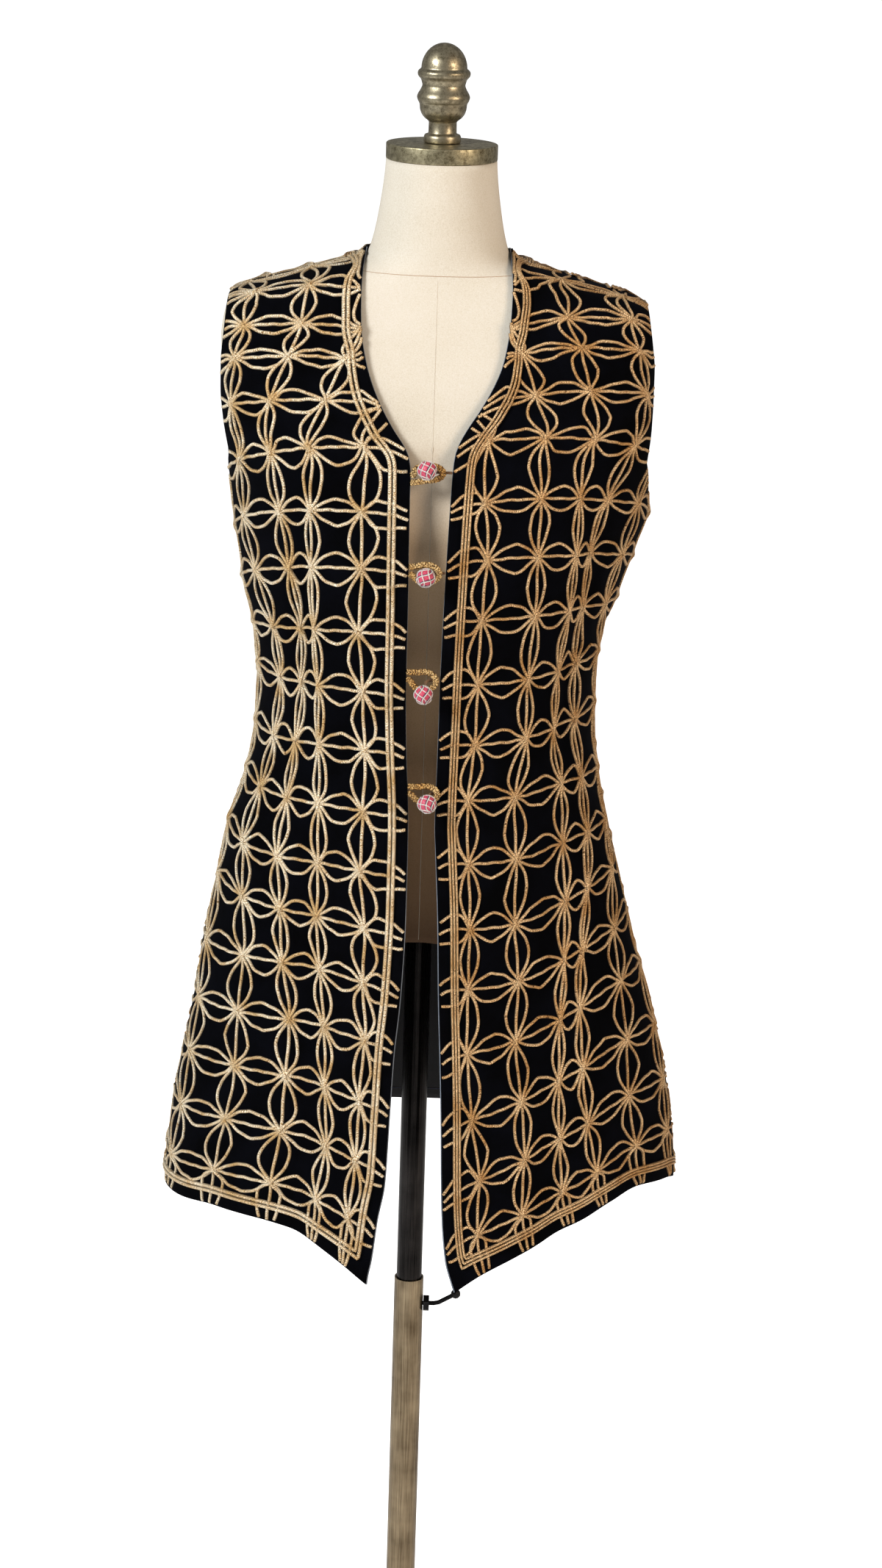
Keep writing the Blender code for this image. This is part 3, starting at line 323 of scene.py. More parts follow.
def easeIn(t):
    t = np.clip(t, 0.0, 1.0)
    return t * t * (3 - 2 * t)


def unit(vectors):
    return vectors / np.linalg.norm(vectors, axis=-1, keepdims=True)


def lengthsAlong(points):
    # How far along its path each point lies.
    return np.concatenate([[0], np.cumsum(np.linalg.norm(np.diff(points, axis=0), axis=-1))])


# height, how far off centre the cloth hangs, half width, depths in front and behind, corner
coat = tableCurves(("middle", "side", "front", "back", "corner"), [
    (0.460, 0.0080, 0.2620, 0.1390, 0.1560, 2.15), (0.552, 0.0075, 0.2570, 0.1360, 0.1530, 2.15),
    (0.615, 0.0080, 0.2512, 0.1335, 0.1500, 2.15), (0.678, 0.0078, 0.2413, 0.1310, 0.1470, 2.15),
    (0.740, 0.0058, 0.2282, 0.1285, 0.1440, 2.15), (0.801, 0.0005, 0.2144, 0.1265, 0.1405, 2.15),
    (0.862, -0.0016, 0.2005, 0.1245, 0.1360, 2.15), (0.923, -0.0035, 0.1866, 0.1230, 0.1290, 2.2),
    (0.983, -0.0010, 0.1711, 0.1220, 0.1170, 2.2), (1.030, -0.0005, 0.1648, 0.1220, 0.1080, 2.2),
    (1.072, -0.0005, 0.1640, 0.1230, 0.1050, 2.2), (1.101, -0.0010, 0.1657, 0.1245, 0.1045, 2.2),
    (1.131, 0.0000, 0.1703, 0.1260, 0.1050, 2.2), (1.160, 0.0010, 0.1788, 0.1280, 0.1060, 2.25),
    (1.189, 0.0035, 0.1854, 0.1300, 0.1075, 2.3), (1.218, 0.0060, 0.1924, 0.1310, 0.1085, 2.35),
    (1.247, 0.0080, 0.1990, 0.1315, 0.1095, 2.45), (1.265, 0.0069, 0.2000, 0.1305, 0.1100, 2.55),
    (1.300, 0.0048, 0.2065, 0.1250, 0.1105, 2.8), (1.330, 0.0030, 0.2080, 0.1145, 0.1110, 3.1),
    (1.360, 0.0015, 0.2085, 0.1035, 0.1085, 3.5), (1.385, 0.0005, 0.2085, 0.0945, 0.1040, 3.9),
    (1.410, 0.0000, 0.2075, 0.0850, 0.0965, 4.2), (1.430, 0.0000, 0.2045, 0.0755, 0.0870, 4.2),
    (1.4405, 0.0000, 0.1985, 0.0690, 0.0800, 4.0), (1.4466, 0.0000, 0.1910, 0.0655, 0.0760, 3.8),
    (1.4556, 0.0000, 0.1610, 0.0625, 0.0720, 3.4), (1.4645, 0.0000, 0.1310, 0.0602, 0.0685, 3.0),
    (1.4734, 0.0000, 0.1010, 0.0585, 0.0655, 2.6), (1.4783, 0.0000, 0.0835, 0.0580, 0.0640, 2.4),
    (1.4828, 0.0000, 0.0750, 0.0578, 0.0630, 2.2), (1.4890, 0.0000, 0.0700, 0.0575, 0.0620, 2.1),
    (1.5000, 0.0000, 0.0680, 0.0575, 0.0615, 2.0)])

# Heights of the shoulder's foot and top, the underarm, the yoke line and the nape; how far out
# the neck point lies; and how the armhole and the yoke curve.
vest = {
    "shoulderFoot": 1.436, "ridgeTop": 1.500, "underarm": 1.262, "yoke": 1.300, "nape": 1.474,
    "neckPoint": 0.070, "scyeShare": 0.955, "scyeCurve": 1.3, "yokeTurn": 2.4,
    "velvetThick": 2.0 * mm, "liningThick": 1.0 * mm, "touch": 0.3 * mm,
    "creaseFade": 0.06, "sideFade": 0.03, "hemLevel": 0.48,
    "flutes": 5, "fluteDepth": 5.0 * mm, "fluteTop": 0.98,      # soft folds of the back's skirt
    "rowPitch": 4 * mm, "runPitch": 2 * mm, "spare": 12,        # of the grid that holds a panel
    "measured": {"skirt": 240, "scye": 12, "yoke": 110},        # rows that the grid is taken from
    "acrossFront": 161, "acrossBack": 241}

# The centre-front edges and the neckline of each front, from the tip to the shoulder.
frontEdge = tableCurves(("right", "left"), [
    (0.470, -0.0430, 0.0510), (0.494, -0.0411, 0.0428), (0.516, -0.0372, 0.0365),
    (0.5565, -0.0325, 0.0320), (0.594, -0.0262, 0.0300), (0.664, -0.0233, 0.0275),
    (0.724, -0.0208, 0.0247), (0.782, -0.0160, 0.0216), (0.861, -0.0131, 0.0185),
    (0.930, -0.0128, 0.0142), (0.958, -0.0131, 0.0126), (1.040, -0.0172, 0.0133),
    (1.100, -0.0188, 0.0137), (1.148, -0.0188, 0.0145), (1.230, -0.0195, 0.0166),
    (1.300, -0.0202, 0.0196), (1.312, -0.0220, 0.0208), (1.321, -0.0265, 0.0232),
    (1.335, -0.0368, 0.0305), (1.354, -0.0483, 0.0432), (1.375, -0.0582, 0.0552),
    (1.395, -0.0646, 0.0632), (1.415, -0.0685, 0.0672), (1.437, -0.0705, 0.0694),
    (1.460, -0.0710, 0.0702), (1.490, -0.0700, 0.0695)])

# Outer edge of the armholes above the yoke line.
armEdge = tableCurves(("right", "left"), [
    (1.300, 0.1924, 0.2020), (1.330, 0.1985, 0.2055), (1.360, 0.2015, 0.2062),
    (1.385, 0.2015, 0.2062), (1.410, 0.1995, 0.2035), (1.438, 0.1975, 0.1995),
    (1.450, 0.1970, 0.1985)])

# Heights of the hems by the share of the way from the edge or centre to the side seam.
frontHem = tableCurves(("right", "left"), [
    (0.00, 0.489, 0.484), (0.08, 0.509, 0.501), (0.16, 0.526, 0.515), (0.25, 0.539, 0.531),
    (0.35, 0.546, 0.546), (0.50, 0.548, 0.568), (0.65, 0.546, 0.577), (0.80, 0.545, 0.574),
    (1.00, 0.544, 0.5605)])
backHem = tableCurves(("right", "left"), [
    (0.00, 0.581, 0.581), (0.50, 0.574, 0.577), (1.00, 0.544, 0.5605)])

# Creases of each front: lowest and highest point, way from the edge at both, width, and depth
# at both.
frontCreases = {
    "right": [(0.95, 1.28, 0.098, 0.106, 0.016, 0.0035, 0.0035),
              (0.46, 0.98, 0.085, 0.098, 0.030, 0.0060, 0.0020),
              (0.46, 0.85, 0.195, 0.180, 0.030, 0.0045, 0.0000)],
    "left": [(0.95, 1.28, 0.126, 0.150, 0.016, 0.0035, 0.0035),
             (0.46, 0.98, 0.118, 0.126, 0.028, 0.0065, 0.0025),
             (0.46, 0.85, 0.215, 0.190, 0.030, 0.0045, 0.0000)]}


def shoulderRidge(x):
    # Height of the shoulder line at a way out, by halving.
    x = np.abs(np.asarray(x, float))
    low, high = np.full(x.shape, vest["shoulderFoot"]), np.full(x.shape, vest["ridgeTop"])
    for step in range(30):
        z = (low + high) / 2
        wide = coat["side"](z) > x
        low, high = np.where(wide, z, low), np.where(wide, high, z)
    return (low + high) / 2


def surfacePoint(x, z, face):
    # The smooth coat at a way across and a height; face is -1 in front and 1 behind.
    corner = coat["corner"](z)
    ratio = np.abs((x - coat["middle"](z)) / coat["side"](z))
    depth = np.maximum(0.0, 1 - np.minimum(1.0, ratio) ** corner) ** (1 / corner)
    reach = coat["front" if face < 0 else "back"](z)
    return np.stack([x + 0 * z, face * reach * depth, z + 0 * x], axis=-1)


def outward(points, face):
    # Which way the coat faces at points on it.
    x, y, z = points[..., 0], points[..., 1], points[..., 2]
    reachName = "front" if face < 0 else "back"

    def level(height):
        corner = coat["corner"](height)
        return (np.abs(x - coat["middle"](height)) / coat["side"](height)) ** corner + (
            np.abs(y) / coat[reachName](height)) ** corner

    corner, side, reach = coat["corner"](z), coat["side"](z), coat[reachName](z)
    across = np.abs(x - coat["middle"](z)) / side
    alongX = np.sign(x - coat["middle"](z)) * corner * across ** (corner - 1) / side
    alongY = face * corner * (np.abs(y) / reach) ** (corner - 1) / reach
    rise = (level(z + mm) - level(z - mm)) / (2 * mm)
    return unit(np.stack([alongX, alongY, rise], axis=-1))


def archHeight(xOfHeight, topOfX, lift):
    # Height where an edge crosses a row that lies between the yoke line and the shoulder.
    z = vest["yoke"] + 0 * lift
    for step in range(12):
        z = vest["yoke"] + (topOfX(xOfHeight(z)) - vest["yoke"]) * lift
    return z


def scyeRatio(z):
    # How much of the half width is left beside the armhole.
    climb = np.clip((z - vest["underarm"]) / (vest["yoke"] - vest["underarm"]), 0, 1)
    return 1 - (1 - vest["scyeShare"]) * climb ** vest["scyeCurve"]


def frontRow(wearer, kind, at, across):
    # One row of a front, from its edge to the side seam or the armhole.
    side = -1 if wearer == "right" else 1
    edge = frontEdge[wearer]
    if kind == "yoke":
        lift = np.array(1 - (1 - at) ** vest["yokeTurn"])

        def armX(z):
            return side * armEdge[wearer](z)

        first = edge(archHeight(edge, shoulderRidge, lift))
        last = armX(archHeight(armX, shoulderRidge, lift))
        middle, half = coat["middle"](vest["yoke"]), coat["side"](vest["yoke"])
        start = asin(side * (edge(vest["yoke"]) - middle) / half)
        end = asin(abs(armX(vest["yoke"]) - middle) / half)
        share = (np.sin(start + (end - start) * across) - sin(start)) / (sin(end) - sin(start))
        x = first + (last - first) * share
        return surfacePoint(x, vest["yoke"] + (shoulderRidge(x) - vest["yoke"]) * lift, -1)
    hem = frontHem[wearer](across)
    z = hem + (vest["underarm"] - hem) * at if kind == "skirt" else at + 0 * across
    middle, half = coat["middle"](z), coat["side"](z)
    start = np.arcsin(side * (edge(z) - middle) / half)
    end = np.arcsin(scyeRatio(z))
    return surfacePoint(middle + side * half * np.sin(start + (end - start) * across), z, -1)


def backTop(x):
    # Height of the back's top edge: the neckline's dip, then the shoulder.
    x = np.abs(x)
    rise = shoulderRidge(vest["neckPoint"]) - vest["nape"]
    neck = vest["nape"] + rise * (x / vest["neckPoint"]) ** 2
    return np.where(x >= vest["neckPoint"], shoulderRidge(x), neck)


def backRow(kind, at, across):
    # One row of the back, from the right side's end (-1) to the left's (1).
    side = np.where(across < 0, -1.0, 1.0)
    if kind == "yoke":
        lift = 1 - (1 - at) ** vest["yokeTurn"]
        last = 0 * across
        for sign, wearer in ((-1, "right"), (1, "left")):
            def armX(z):
                return sign * armEdge[wearer](z)
            reach = armX(archHeight(armX, backTop, np.array(lift)))
            last = np.where(side == sign, reach, last)
        end = asin(vest["scyeShare"])
        x = last * np.sin(end * np.abs(across)) / sin(end)
        x = x + coat["middle"](vest["yoke"]) * (1 - lift) * (1 - np.abs(across))
        return surfacePoint(x, vest["yoke"] + (backTop(x) - vest["yoke"]) * lift, 1)
    hem = np.where(across < 0, backHem["right"](np.abs(across)), backHem["left"](np.abs(across)))
    z = hem + (vest["underarm"] - hem) * at if kind == "skirt" else at + 0 * across
    middle, half = coat["middle"](z), coat["side"](z)
    return surfacePoint(middle + side * half * np.sin(np.arcsin(scyeRatio(z)) * np.abs(across)),
                        z, 1)


def creaseDepth(creases, z, run):
    # How deep the creases press in at a height and a way from the edge.
    total = 0 * z
    for low, high, acrossLow, acrossHigh, width, depthLow, depthHigh in creases:
        t = np.clip((z - low) / (high - low), 0, 1)
        off = (run - acrossLow - (acrossHigh - acrossLow) * t) / width
        fade = easeIn((high - z) / vest["creaseFade"])
        if low > vest["hemLevel"]:
            fade = fade * easeIn((z - low) / vest["creaseFade"])
        trough = np.where(np.abs(off) < 3, (1 - off * off) * 2.0 ** (-1.5 * off * off), 0.0)
        total = total + (depthLow + (depthHigh - depthLow) * t) * fade * trough
    return total


def measuredRows():
    # From the hem up: shares of the skirt's height, heights beside the armhole's foot, and
    # shares of the yoke's height.
    count, scyeTall = vest["measured"], vest["yoke"] - vest["underarm"]
    return ([("skirt", k / count["skirt"]) for k in range(count["skirt"])]
            + [("scye", vest["underarm"] + scyeTall * k / count["scye"])
               for k in range(count["scye"])]
            + [("yoke", k / count["yoke"]) for k in range(count["yoke"] + 1)])


def makeCloth(rowOf, shares, face, shape):
    # Points of a panel on an even grid: up from the hem (u) and along its rows (s), both in
    # metres.  Front rows start at the edge, back rows at the centre line.
    raw = np.array([rowOf(kind, at, shares) for kind, at in measuredRows()])
    centre = len(shares) // 2
    climb = lengthsAlong(raw[:, centre])
    count = int(round(climb[-1] / vest["rowPitch"])) + 1
    levels = np.linspace(0, climb[-1], count)
    where = np.interp(levels, climb, np.arange(len(climb)))
    k = np.minimum(where.astype(int), len(climb) - 2)
    t = (where - k)[:, None, None]
    even = raw[k] * (1 - t) + raw[k + 1] * t
    runs = np.concatenate([np.zeros((count, 1)), np.cumsum(
        np.linalg.norm(np.diff(even, axis=1), axis=2), axis=1)], axis=1)
    if shares[0] < 0:
        runs = runs - runs[:, [centre]]
    low, high = runs[:, 0], runs[:, -1]
    pitch, spare = vest["runPitch"], vest["spare"]
    places = np.arange(int(np.floor(low.min() / pitch)) - spare,
                       int(np.ceil(high.max() / pitch)) + spare + 1) * pitch
    points = np.zeros((count, len(places), 3))
    for row in range(count):
        for axis in range(3):
            points[row, :, axis] = np.interp(places, runs[row], even[row, :, axis])
        for end, inner in ((0, 1), (-1, -2)):
            slope = (even[row, end] - even[row, inner]) / (runs[row, end] - runs[row, inner])
            out = places > runs[row, -1] if end else places < runs[row, 0]
            points[row, out] = even[row, end] + slope * (places[out] - runs[row, end])[:, None]
    normals = outward(np.where(np.isfinite(points), points, 0), face)
    points = points - normals * shape(points[..., 2], places[None, :] + 0 * points[..., 2],
                                      low[:, None], high[:, None])[..., None]
    return {"points": points, "normals": normals, "first": places[0], "low": low, "high": high,
            "top": climb[-1], "step": climb[-1] / (count - 1)}


def frontShape(wearer):
    def shape(z, run, low, high):
        return creaseDepth(frontCreases[wearer], z, run) * easeIn((high - run) / vest["sideFade"])
    return shape


def backShape(z, run, low, high):
    share = np.clip(run / np.where(run < 0, -low, high), -1, 1)
    fade = easeIn((vest["fluteTop"] - z) / (vest["fluteTop"] - vest["hemLevel"]))
    return vest["fluteDepth"] * fade * (1 - np.cos(pi * vest["flutes"] * (share + 1))) / 2


def edgeAt(cloth, name, u):
    # Where a panel's rows begin ("low") or end ("high") at a way up it.
    return np.interp(u, np.arange(len(cloth[name])) * cloth["step"], cloth[name])


def clothAt(cloth, u, s):
    # Points and normals of a panel at places up and along it, kept just inside its grid.
    lastRow, lastColumn = [size - 1.001 for size in cloth["points"].shape[:2]]
    row = np.clip(np.asarray(u) / cloth["step"], 0, lastRow)
    column = np.clip((np.asarray(s) - cloth["first"]) / vest["runPitch"], 0, lastColumn)
    r, c = row.astype(int), column.astype(int)
    a, b = (row - r)[..., None], (column - c)[..., None]
    found = []
    for name in ("points", "normals"):
        g = cloth[name]
        found.append((g[r, c] * (1 - b) + g[r, c + 1] * b) * (1 - a)
                     + (g[r + 1, c] * (1 - b) + g[r + 1, c + 1] * b) * a)
    return found


frontShares = np.linspace(0, 1, vest["acrossFront"])
backShares = np.linspace(-1, 1, vest["acrossBack"])
cloths = {wearer: makeCloth(partial(frontRow, wearer), frontShares, -1, frontShape(wearer))
          for wearer in ("right", "left")}
cloths["back"] = makeCloth(backRow, backShares, 1, backShape)
report("cloth surfaces")


def addObject(name, data):
    item = bpy.data.objects.new(name, data)
    bpy.context.scene.collection.objects.link(item)
    return item


def addPiece(mesh, material, slotName, *replaced):
    # Everything that is made here turns and rises with the form.
    item = addObject(mesh.name, mesh)
    mesh.materials.append(material)
    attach(item, "form")
    if replaced:
        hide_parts(*replaced)
    return item


def meshFrom(bm, name):
    mesh = bpy.data.meshes.new(name)
    bm.to_mesh(mesh)
    bm.free()
    mesh.polygons.foreach_set("use_smooth", np.ones(len(mesh.polygons), bool))
    return mesh


joined = {"grid": 0.001 * mm, "turned": 0.005 * mm}     # points closer than this become one


def gridMesh(name, columns, rows, coordinates, uv=None, dropped=None, closed=False):
    # A grid of quads with its points given by row and column; dropped[row, column] are holes.
    bm = bmesh.new()
    bmesh.ops.create_grid(bm, x_segments=columns, y_segments=rows, size=0.5)
    bm.verts.ensure_lookup_table()
    bm.faces.ensure_lookup_table()
    where = np.array([(round((v.co.y + 0.5) * rows), round((v.co.x + 0.5) * columns))
                      for v in bm.verts])
    if dropped is not None:
        gone = []
        for face in bm.faces:
            middle = face.calc_center_median()
            if dropped[int((middle.y + 0.5) * rows), int((middle.x + 0.5) * columns)]:
                gone.append(face)
        bmesh.ops.delete(bm, geom=gone, context="FACES_ONLY")
    mesh = meshFrom(bm, name)
    places = coordinates[where[:, 0], where[:, 1]]
    mesh.vertices.foreach_set("co", places.astype(np.float32).ravel())
    if uv is not None:
        layer = mesh.uv_layers.new(name="metres")
        index = np.zeros(len(mesh.loops), int)
        mesh.loops.foreach_get("vertex_index", index)
        corners = uv[where[index, 0], where[index, 1]]
        layer.data.foreach_set("uv", corners.astype(np.float32).ravel())
    if closed or dropped is not None:
        bm = bmesh.new()
        bm.from_mesh(mesh)
        if closed:
            bmesh.ops.remove_doubles(bm, verts=bm.verts[:], dist=joined["grid"])
        bmesh.ops.delete(bm, geom=[v for v in bm.verts if not v.link_faces], context="VERTS")
        bm.to_mesh(mesh)
        bm.free()
    mesh.update()
    return mesh


# A laid cord's round top, as shares of its width and height, and how far its edges sink in.
cordShape = np.array([(-0.5, 0.0), (-0.34, 0.80), (0.0, 1.0), (0.34, 0.80), (0.5, 0.0)])
cord = {"sink": 0.35 * mm, "endHeight": 0.1 * mm, "footLift": 0.6, "fewest": 4}


def ribbonMesh(name, runs):
    # Cords lying on the cloth.  A run has points, normals, a height, and lifts and a width
    # that are one number or one for each point.
    allPoints, allUv, holes = [], [], []
    for run in runs:
        points, normals = run["points"], run["normals"]
        side = unit(np.cross(unit(np.gradient(points, axis=0)), normals))
        along = lengthsAlong(points)
        tall = np.full(len(points), run["height"])
        tall[[0, -1]] = cord["endHeight"]
        lifts = run["lifts"] + 0 * along
        rows, uvs = [], []
        for across, up in cordShape:
            rise = (lifts - cord["sink"]) + (tall + cord["sink"]) * up
            if up == 0:
                rise = lifts * cord["footLift"] - cord["sink"]
            out = (across * run["width"] + 0 * along)[:, None]
            rows.append(points + side * out + normals * rise[:, None])
            uvs.append(np.stack([along, np.full(len(along), across * 2)], axis=1))
        allPoints.append(np.stack(rows, axis=1))
        allUv.append(np.stack(uvs, axis=1))
        holes += [0] * (len(points) - 1) + [1]
    coordinates = np.concatenate(allPoints)
    dropped = np.repeat(np.array(holes[:-1])[:, None], len(cordShape) - 1, axis=1)
    return gridMesh(name, len(cordShape) - 1, len(coordinates) - 1, coordinates,
                    np.concatenate(allUv), dropped)


def tubeRun(points, radius, sides):
    # Rings of a round cord about a path, closed at both ends, as a grid of points.
    tangent = unit(np.gradient(points, axis=0))
    normal = np.cross(tangent[0], (0.31, 0.52, 0.79))       # a way that no cord here takes
    rings = []
    for point, way in zip(points, tangent):
        normal = unit(normal - way * np.dot(normal, way))
        other = np.cross(way, normal)
        turn = np.linspace(0, 2 * pi, sides + 1)[:, None]
        rings.append(point + radius * (np.cos(turn) * normal + np.sin(turn) * other))
    rings = [np.repeat(points[[0]], sides + 1, axis=0)] + rings
    rings.append(np.repeat(points[[-1]], sides + 1, axis=0))
    return np.array(rings)


def tubeMesh(name, paths, radius, sides):
    grids = [tubeRun(path, radius, sides) for path in paths]
    coordinates = np.concatenate(grids)
    holes = []
    for grid in grids:
        holes += [0] * (len(grid) - 1) + [1]
    dropped = np.repeat(np.array(holes[:-1])[:, None], sides, axis=1)
    steps = np.linalg.norm(np.diff(coordinates[:, 0], axis=0), axis=1)
    along = np.concatenate([[0], np.cumsum(np.where(np.array(holes[:-1]), 0, steps))])
    across = np.linspace(0, 2 * pi * radius, sides + 1)
    uv = np.stack(np.broadcast_arrays(along[:, None], across[None, :]), axis=-1)
    return gridMesh(name, sides, len(coordinates) - 1, coordinates, uv, dropped, closed=True)


# The velvet panels and their linings.  The fronts are lined low down and along a strip behind
# each edge, the back low down only.
panel = {
    "called": {"right": "right_front", "left": "left_front", "back": "back"},
    "solid": {"right": "front_right", "left": "front_left", "back": "back"},
    "columns": {"right": 66, "left": 66, "back": 110}, "rows": 150,
    "strip": 60 * mm, "linedBelow": 0.93, "rounded": 0.36, "sharp": 0.9}


def panelMesh(name, cloth, columns, rows, near, far, part=None, span=None):
    # A wall of cloth between two depths under a panel's surface, with rounded edges.
    u = np.linspace(0, cloth["top"], rows + 1)[:, None] + np.zeros((1, columns + 1))
    share = np.linspace(0, 1, columns + 1)[None, :]
    low, high = edgeAt(cloth, "low", u), edgeAt(cloth, "high", u)
    if span is not None:
        low, high = span(u)
    s = low + (high - low) * share
    points, normals = clothAt(cloth, u, s)
    bm = bmesh.new()
    bmesh.ops.create_grid(bm, x_segments=columns, y_segments=rows, size=0.5)
    for vert in bm.verts:
        vert.co = ((vert.co.x + 0.5) * columns, (vert.co.y + 0.5) * rows, 0)
    if part is not None:
        keep = part(s, points)
        gone = [face for face in bm.faces
                if not keep[int(face.calc_center_median().y), int(face.calc_center_median().x)]]
        bmesh.ops.delete(bm, geom=gone, context="FACES")
    flat = 0.0
    for face in bm.faces:
        corners = [Vector(points[round(v.co.y), round(v.co.x)]) for v in face.verts]
        flat += ((corners[2] - corners[0]).cross(corners[3] - corners[1])).length / 2
    rim = [edge for edge in bm.edges if edge.is_boundary]
    made = bmesh.ops.extrude_face_region(bm, geom=bm.faces[:], use_keep_orig=True)
    copied = {item for item in made["geom"] if isinstance(item, bmesh.types.BMVert)}
    rimVerts = {vert for edge in rim for vert in edge.verts}
    for vert in bm.verts:
        row, column = round(vert.co.y), round(vert.co.x)
        depth = far if vert in copied else near
        vert.co = Vector(points[row, column] - normals[row, column] * depth)
    bmesh.ops.recalc_face_normals(bm, faces=bm.faces[:])
    if bm.calc_volume(signed=True) < 0:
        bmesh.ops.reverse_faces(bm, faces=bm.faces[:])
    sharp = [edge for edge in bm.edges if all(vert in rimVerts for vert in edge.verts)
             and edge.calc_face_angle(0) > panel["sharp"]]
    bmesh.ops.bevel(bm, geom=sharp, offset=(far - near) * panel["rounded"], segments=2,
                    profile=0.5, affect="EDGES", material=-1, clamp_overlap=True)
    wide = (high - low).max()
    print(f"{name}: flat {flat:.4f} m2, rows {wide:.3f} wide, {cloth['top']:.3f} tall")
    return meshFrom(bm, name)


def frontLined(s, points):
    return (s[:-1, 1:] < panel["strip"]) | (points[:-1, 1:, 2] < panel["linedBelow"])


def backLined(s, points):
    return points[:-1, :-1, 2] < panel["linedBelow"]


def panelOf(wearer, name, near, thick, **shape):
    return panelMesh(name, cloths[wearer], panel["columns"][wearer], panel["rows"], near,
                     near + thick, **shape)


velvets, linings = {}, {}
for wearer, called in panel["called"].items():
    mesh = panelOf(wearer, f"velvet_{called}", 0, vest["velvetThick"])
    velvets[wearer] = addPiece(mesh, velvetMaterial, "velvet",
                               panel["solid"][wearer])
liningNear = vest["velvetThick"] + vest["touch"]
for wearer, called in panel["called"].items():
    mesh = panelOf(wearer, f"lining_{called}", liningNear, vest["liningThick"],
                   part=backLined if wearer == "back" else frontLined)
    linings[wearer] = addPiece(mesh, darkLining, "lining",
                               f'{panel["solid"][wearer]}_lining')
report("panels")


# The star lattice: three chain-stitched cords to a line, which part between the nodes and
# meet again at each, with the lines across lying under the upright ones.
lattice = {
    "height": 1.5 * mm, "step": 1.8 * mm, "margin": 0.8 * mm,
    "rowLifts": (0.0, 0.45 * mm, 0.9 * mm), "columnLifts": (1.35 * mm, 1.75 * mm, 2.15 * mm),
    "nodeReach": 0.10,      # share of a cell over which a cord rises at its node
    "peak": (0.42, 0.58), "kink": (0.0, 0.45), "size": (0.92, 1.08),
    "tie": (1.08, 0.08), "shoulder": (1.034, 0.62),     # a petal's gains, and where they set in
    "hemPetal": (0.82, 0.1, 0.78), "edgePetal": (0.74, 0.1, 1.0),   # cells that cross the border
    "wander": 0.3 * mm, "wanderTurns": (13, 29),
    "droopFrom": 16 * mm, "droopMost": 1.5, "droopCurve": 1.5,      # ends beside the border
    # petals are slimmer where columns stand close, as they do along the darts
    "fullPitch": 53 * mm, "broadest": 1.1, "narrowing": 0.8, "fullTall": 55 * mm,
    "shortening": 0.6,
    "slimPitch": 36 * mm, "slimming": 0.6, "slimmest": 0.72, "leastBow": 4.6 * mm,
    "pathStep": 1.0 * mm, "ahead": 0.12, "past": 0.03, "below": 0.03, "above": 0.10}


def petals(phase, draws):
    # A cord's bow away from its line: up in one cell, down in the next, nothing at a node.
    # Each cell has its own widest place, and its own share of bend and of curve there.
    cell = np.clip(np.floor(phase).astype(int), 0, len(draws) - 1)
    peak, kink, size = draws[cell].T
    t = phase - np.floor(phase)
    climb = np.clip(np.where(t < peak, t / peak, (1 - t) / (1 - peak)), 0, 1)
    gain, tie = lattice["tie"]
    climb = gain * climb ** 2 / (climb + tie)                       # tied together at the node
    gain, shoulder = lattice["shoulder"]
    flat = gain * climb / (climb ** 4 + shoulder ** 4) ** 0.25      # straight, then a shoulder
    bow = size * ((1 - kink) * flat + kink * climb)
    return bow * np.where(cell % 2, -1.0, 1.0)


def petalDraws(generator, cells):
    # Each cell's widest place, share of bend and size, drawn from the lattice's ranges.
    ranges = [lattice[name] for name in ("peak", "kink", "size")]
    return np.stack([generator.uniform(low, high, cells) for low, high in ranges], axis=1)


def nodeLift(phase, lift):
    # A cord rises over those under it near a node and lies down between nodes.
    t = phase - np.floor(phase)
    return lift * np.exp(-(np.minimum(t, 1 - t) / lattice["nodeReach"]) ** 2)


def resample(u, s, cloth, step):
    # Even steps along a path on the cloth, and where each lies on the path that was given.
    along = lengthsAlong(clothAt(cloth, u, s)[0])
    count = max(2, int(round(along[-1] / step)) + 1)
    even = np.linspace(0, along[-1], count)
    return np.interp(even, along, u), np.interp(even, along, s), np.interp(
        even, along, np.arange(len(u)))


def clippedRuns(cloth, u, s, lifts, margin, width, height):
    # The stretches of a path that lie on its panel, as runs for ribbonMesh.
    low, high = edgeAt(cloth, "low", u), edgeAt(cloth, "high", u)
    valid = (s > low + margin) & (s < high - margin) & (u > margin) & (u < cloth["top"] - margin)
    runs = []
    start = None
    for k in range(len(u) + 1):
        if k < len(u) and valid[k]:
            start = k if start is None else start
        elif start is not None:
            if k - start >= cord["fewest"]:
                points, normals = clothAt(cloth, u[start:k], s[start:k])
                runs.append({"points": points, "normals": unit(normals),
                             "lifts": (lifts + 0 * u)[start:k],
                             "width": (width + 0 * u)[start:k], "height": height})
            start = None
    return runs


def phaseAlong(path, places):
    # How many of the crossing lines a path has passed, with the way to the next as a share.
    phase = np.full(len(path), -1.0)
    for k in range(len(places) - 1):
        within = (path >= places[k]) & (path < places[k + 1])
        phase = np.where(within, k + (path - places[k]) / (places[k + 1] - places[k]), phase)
    return phase


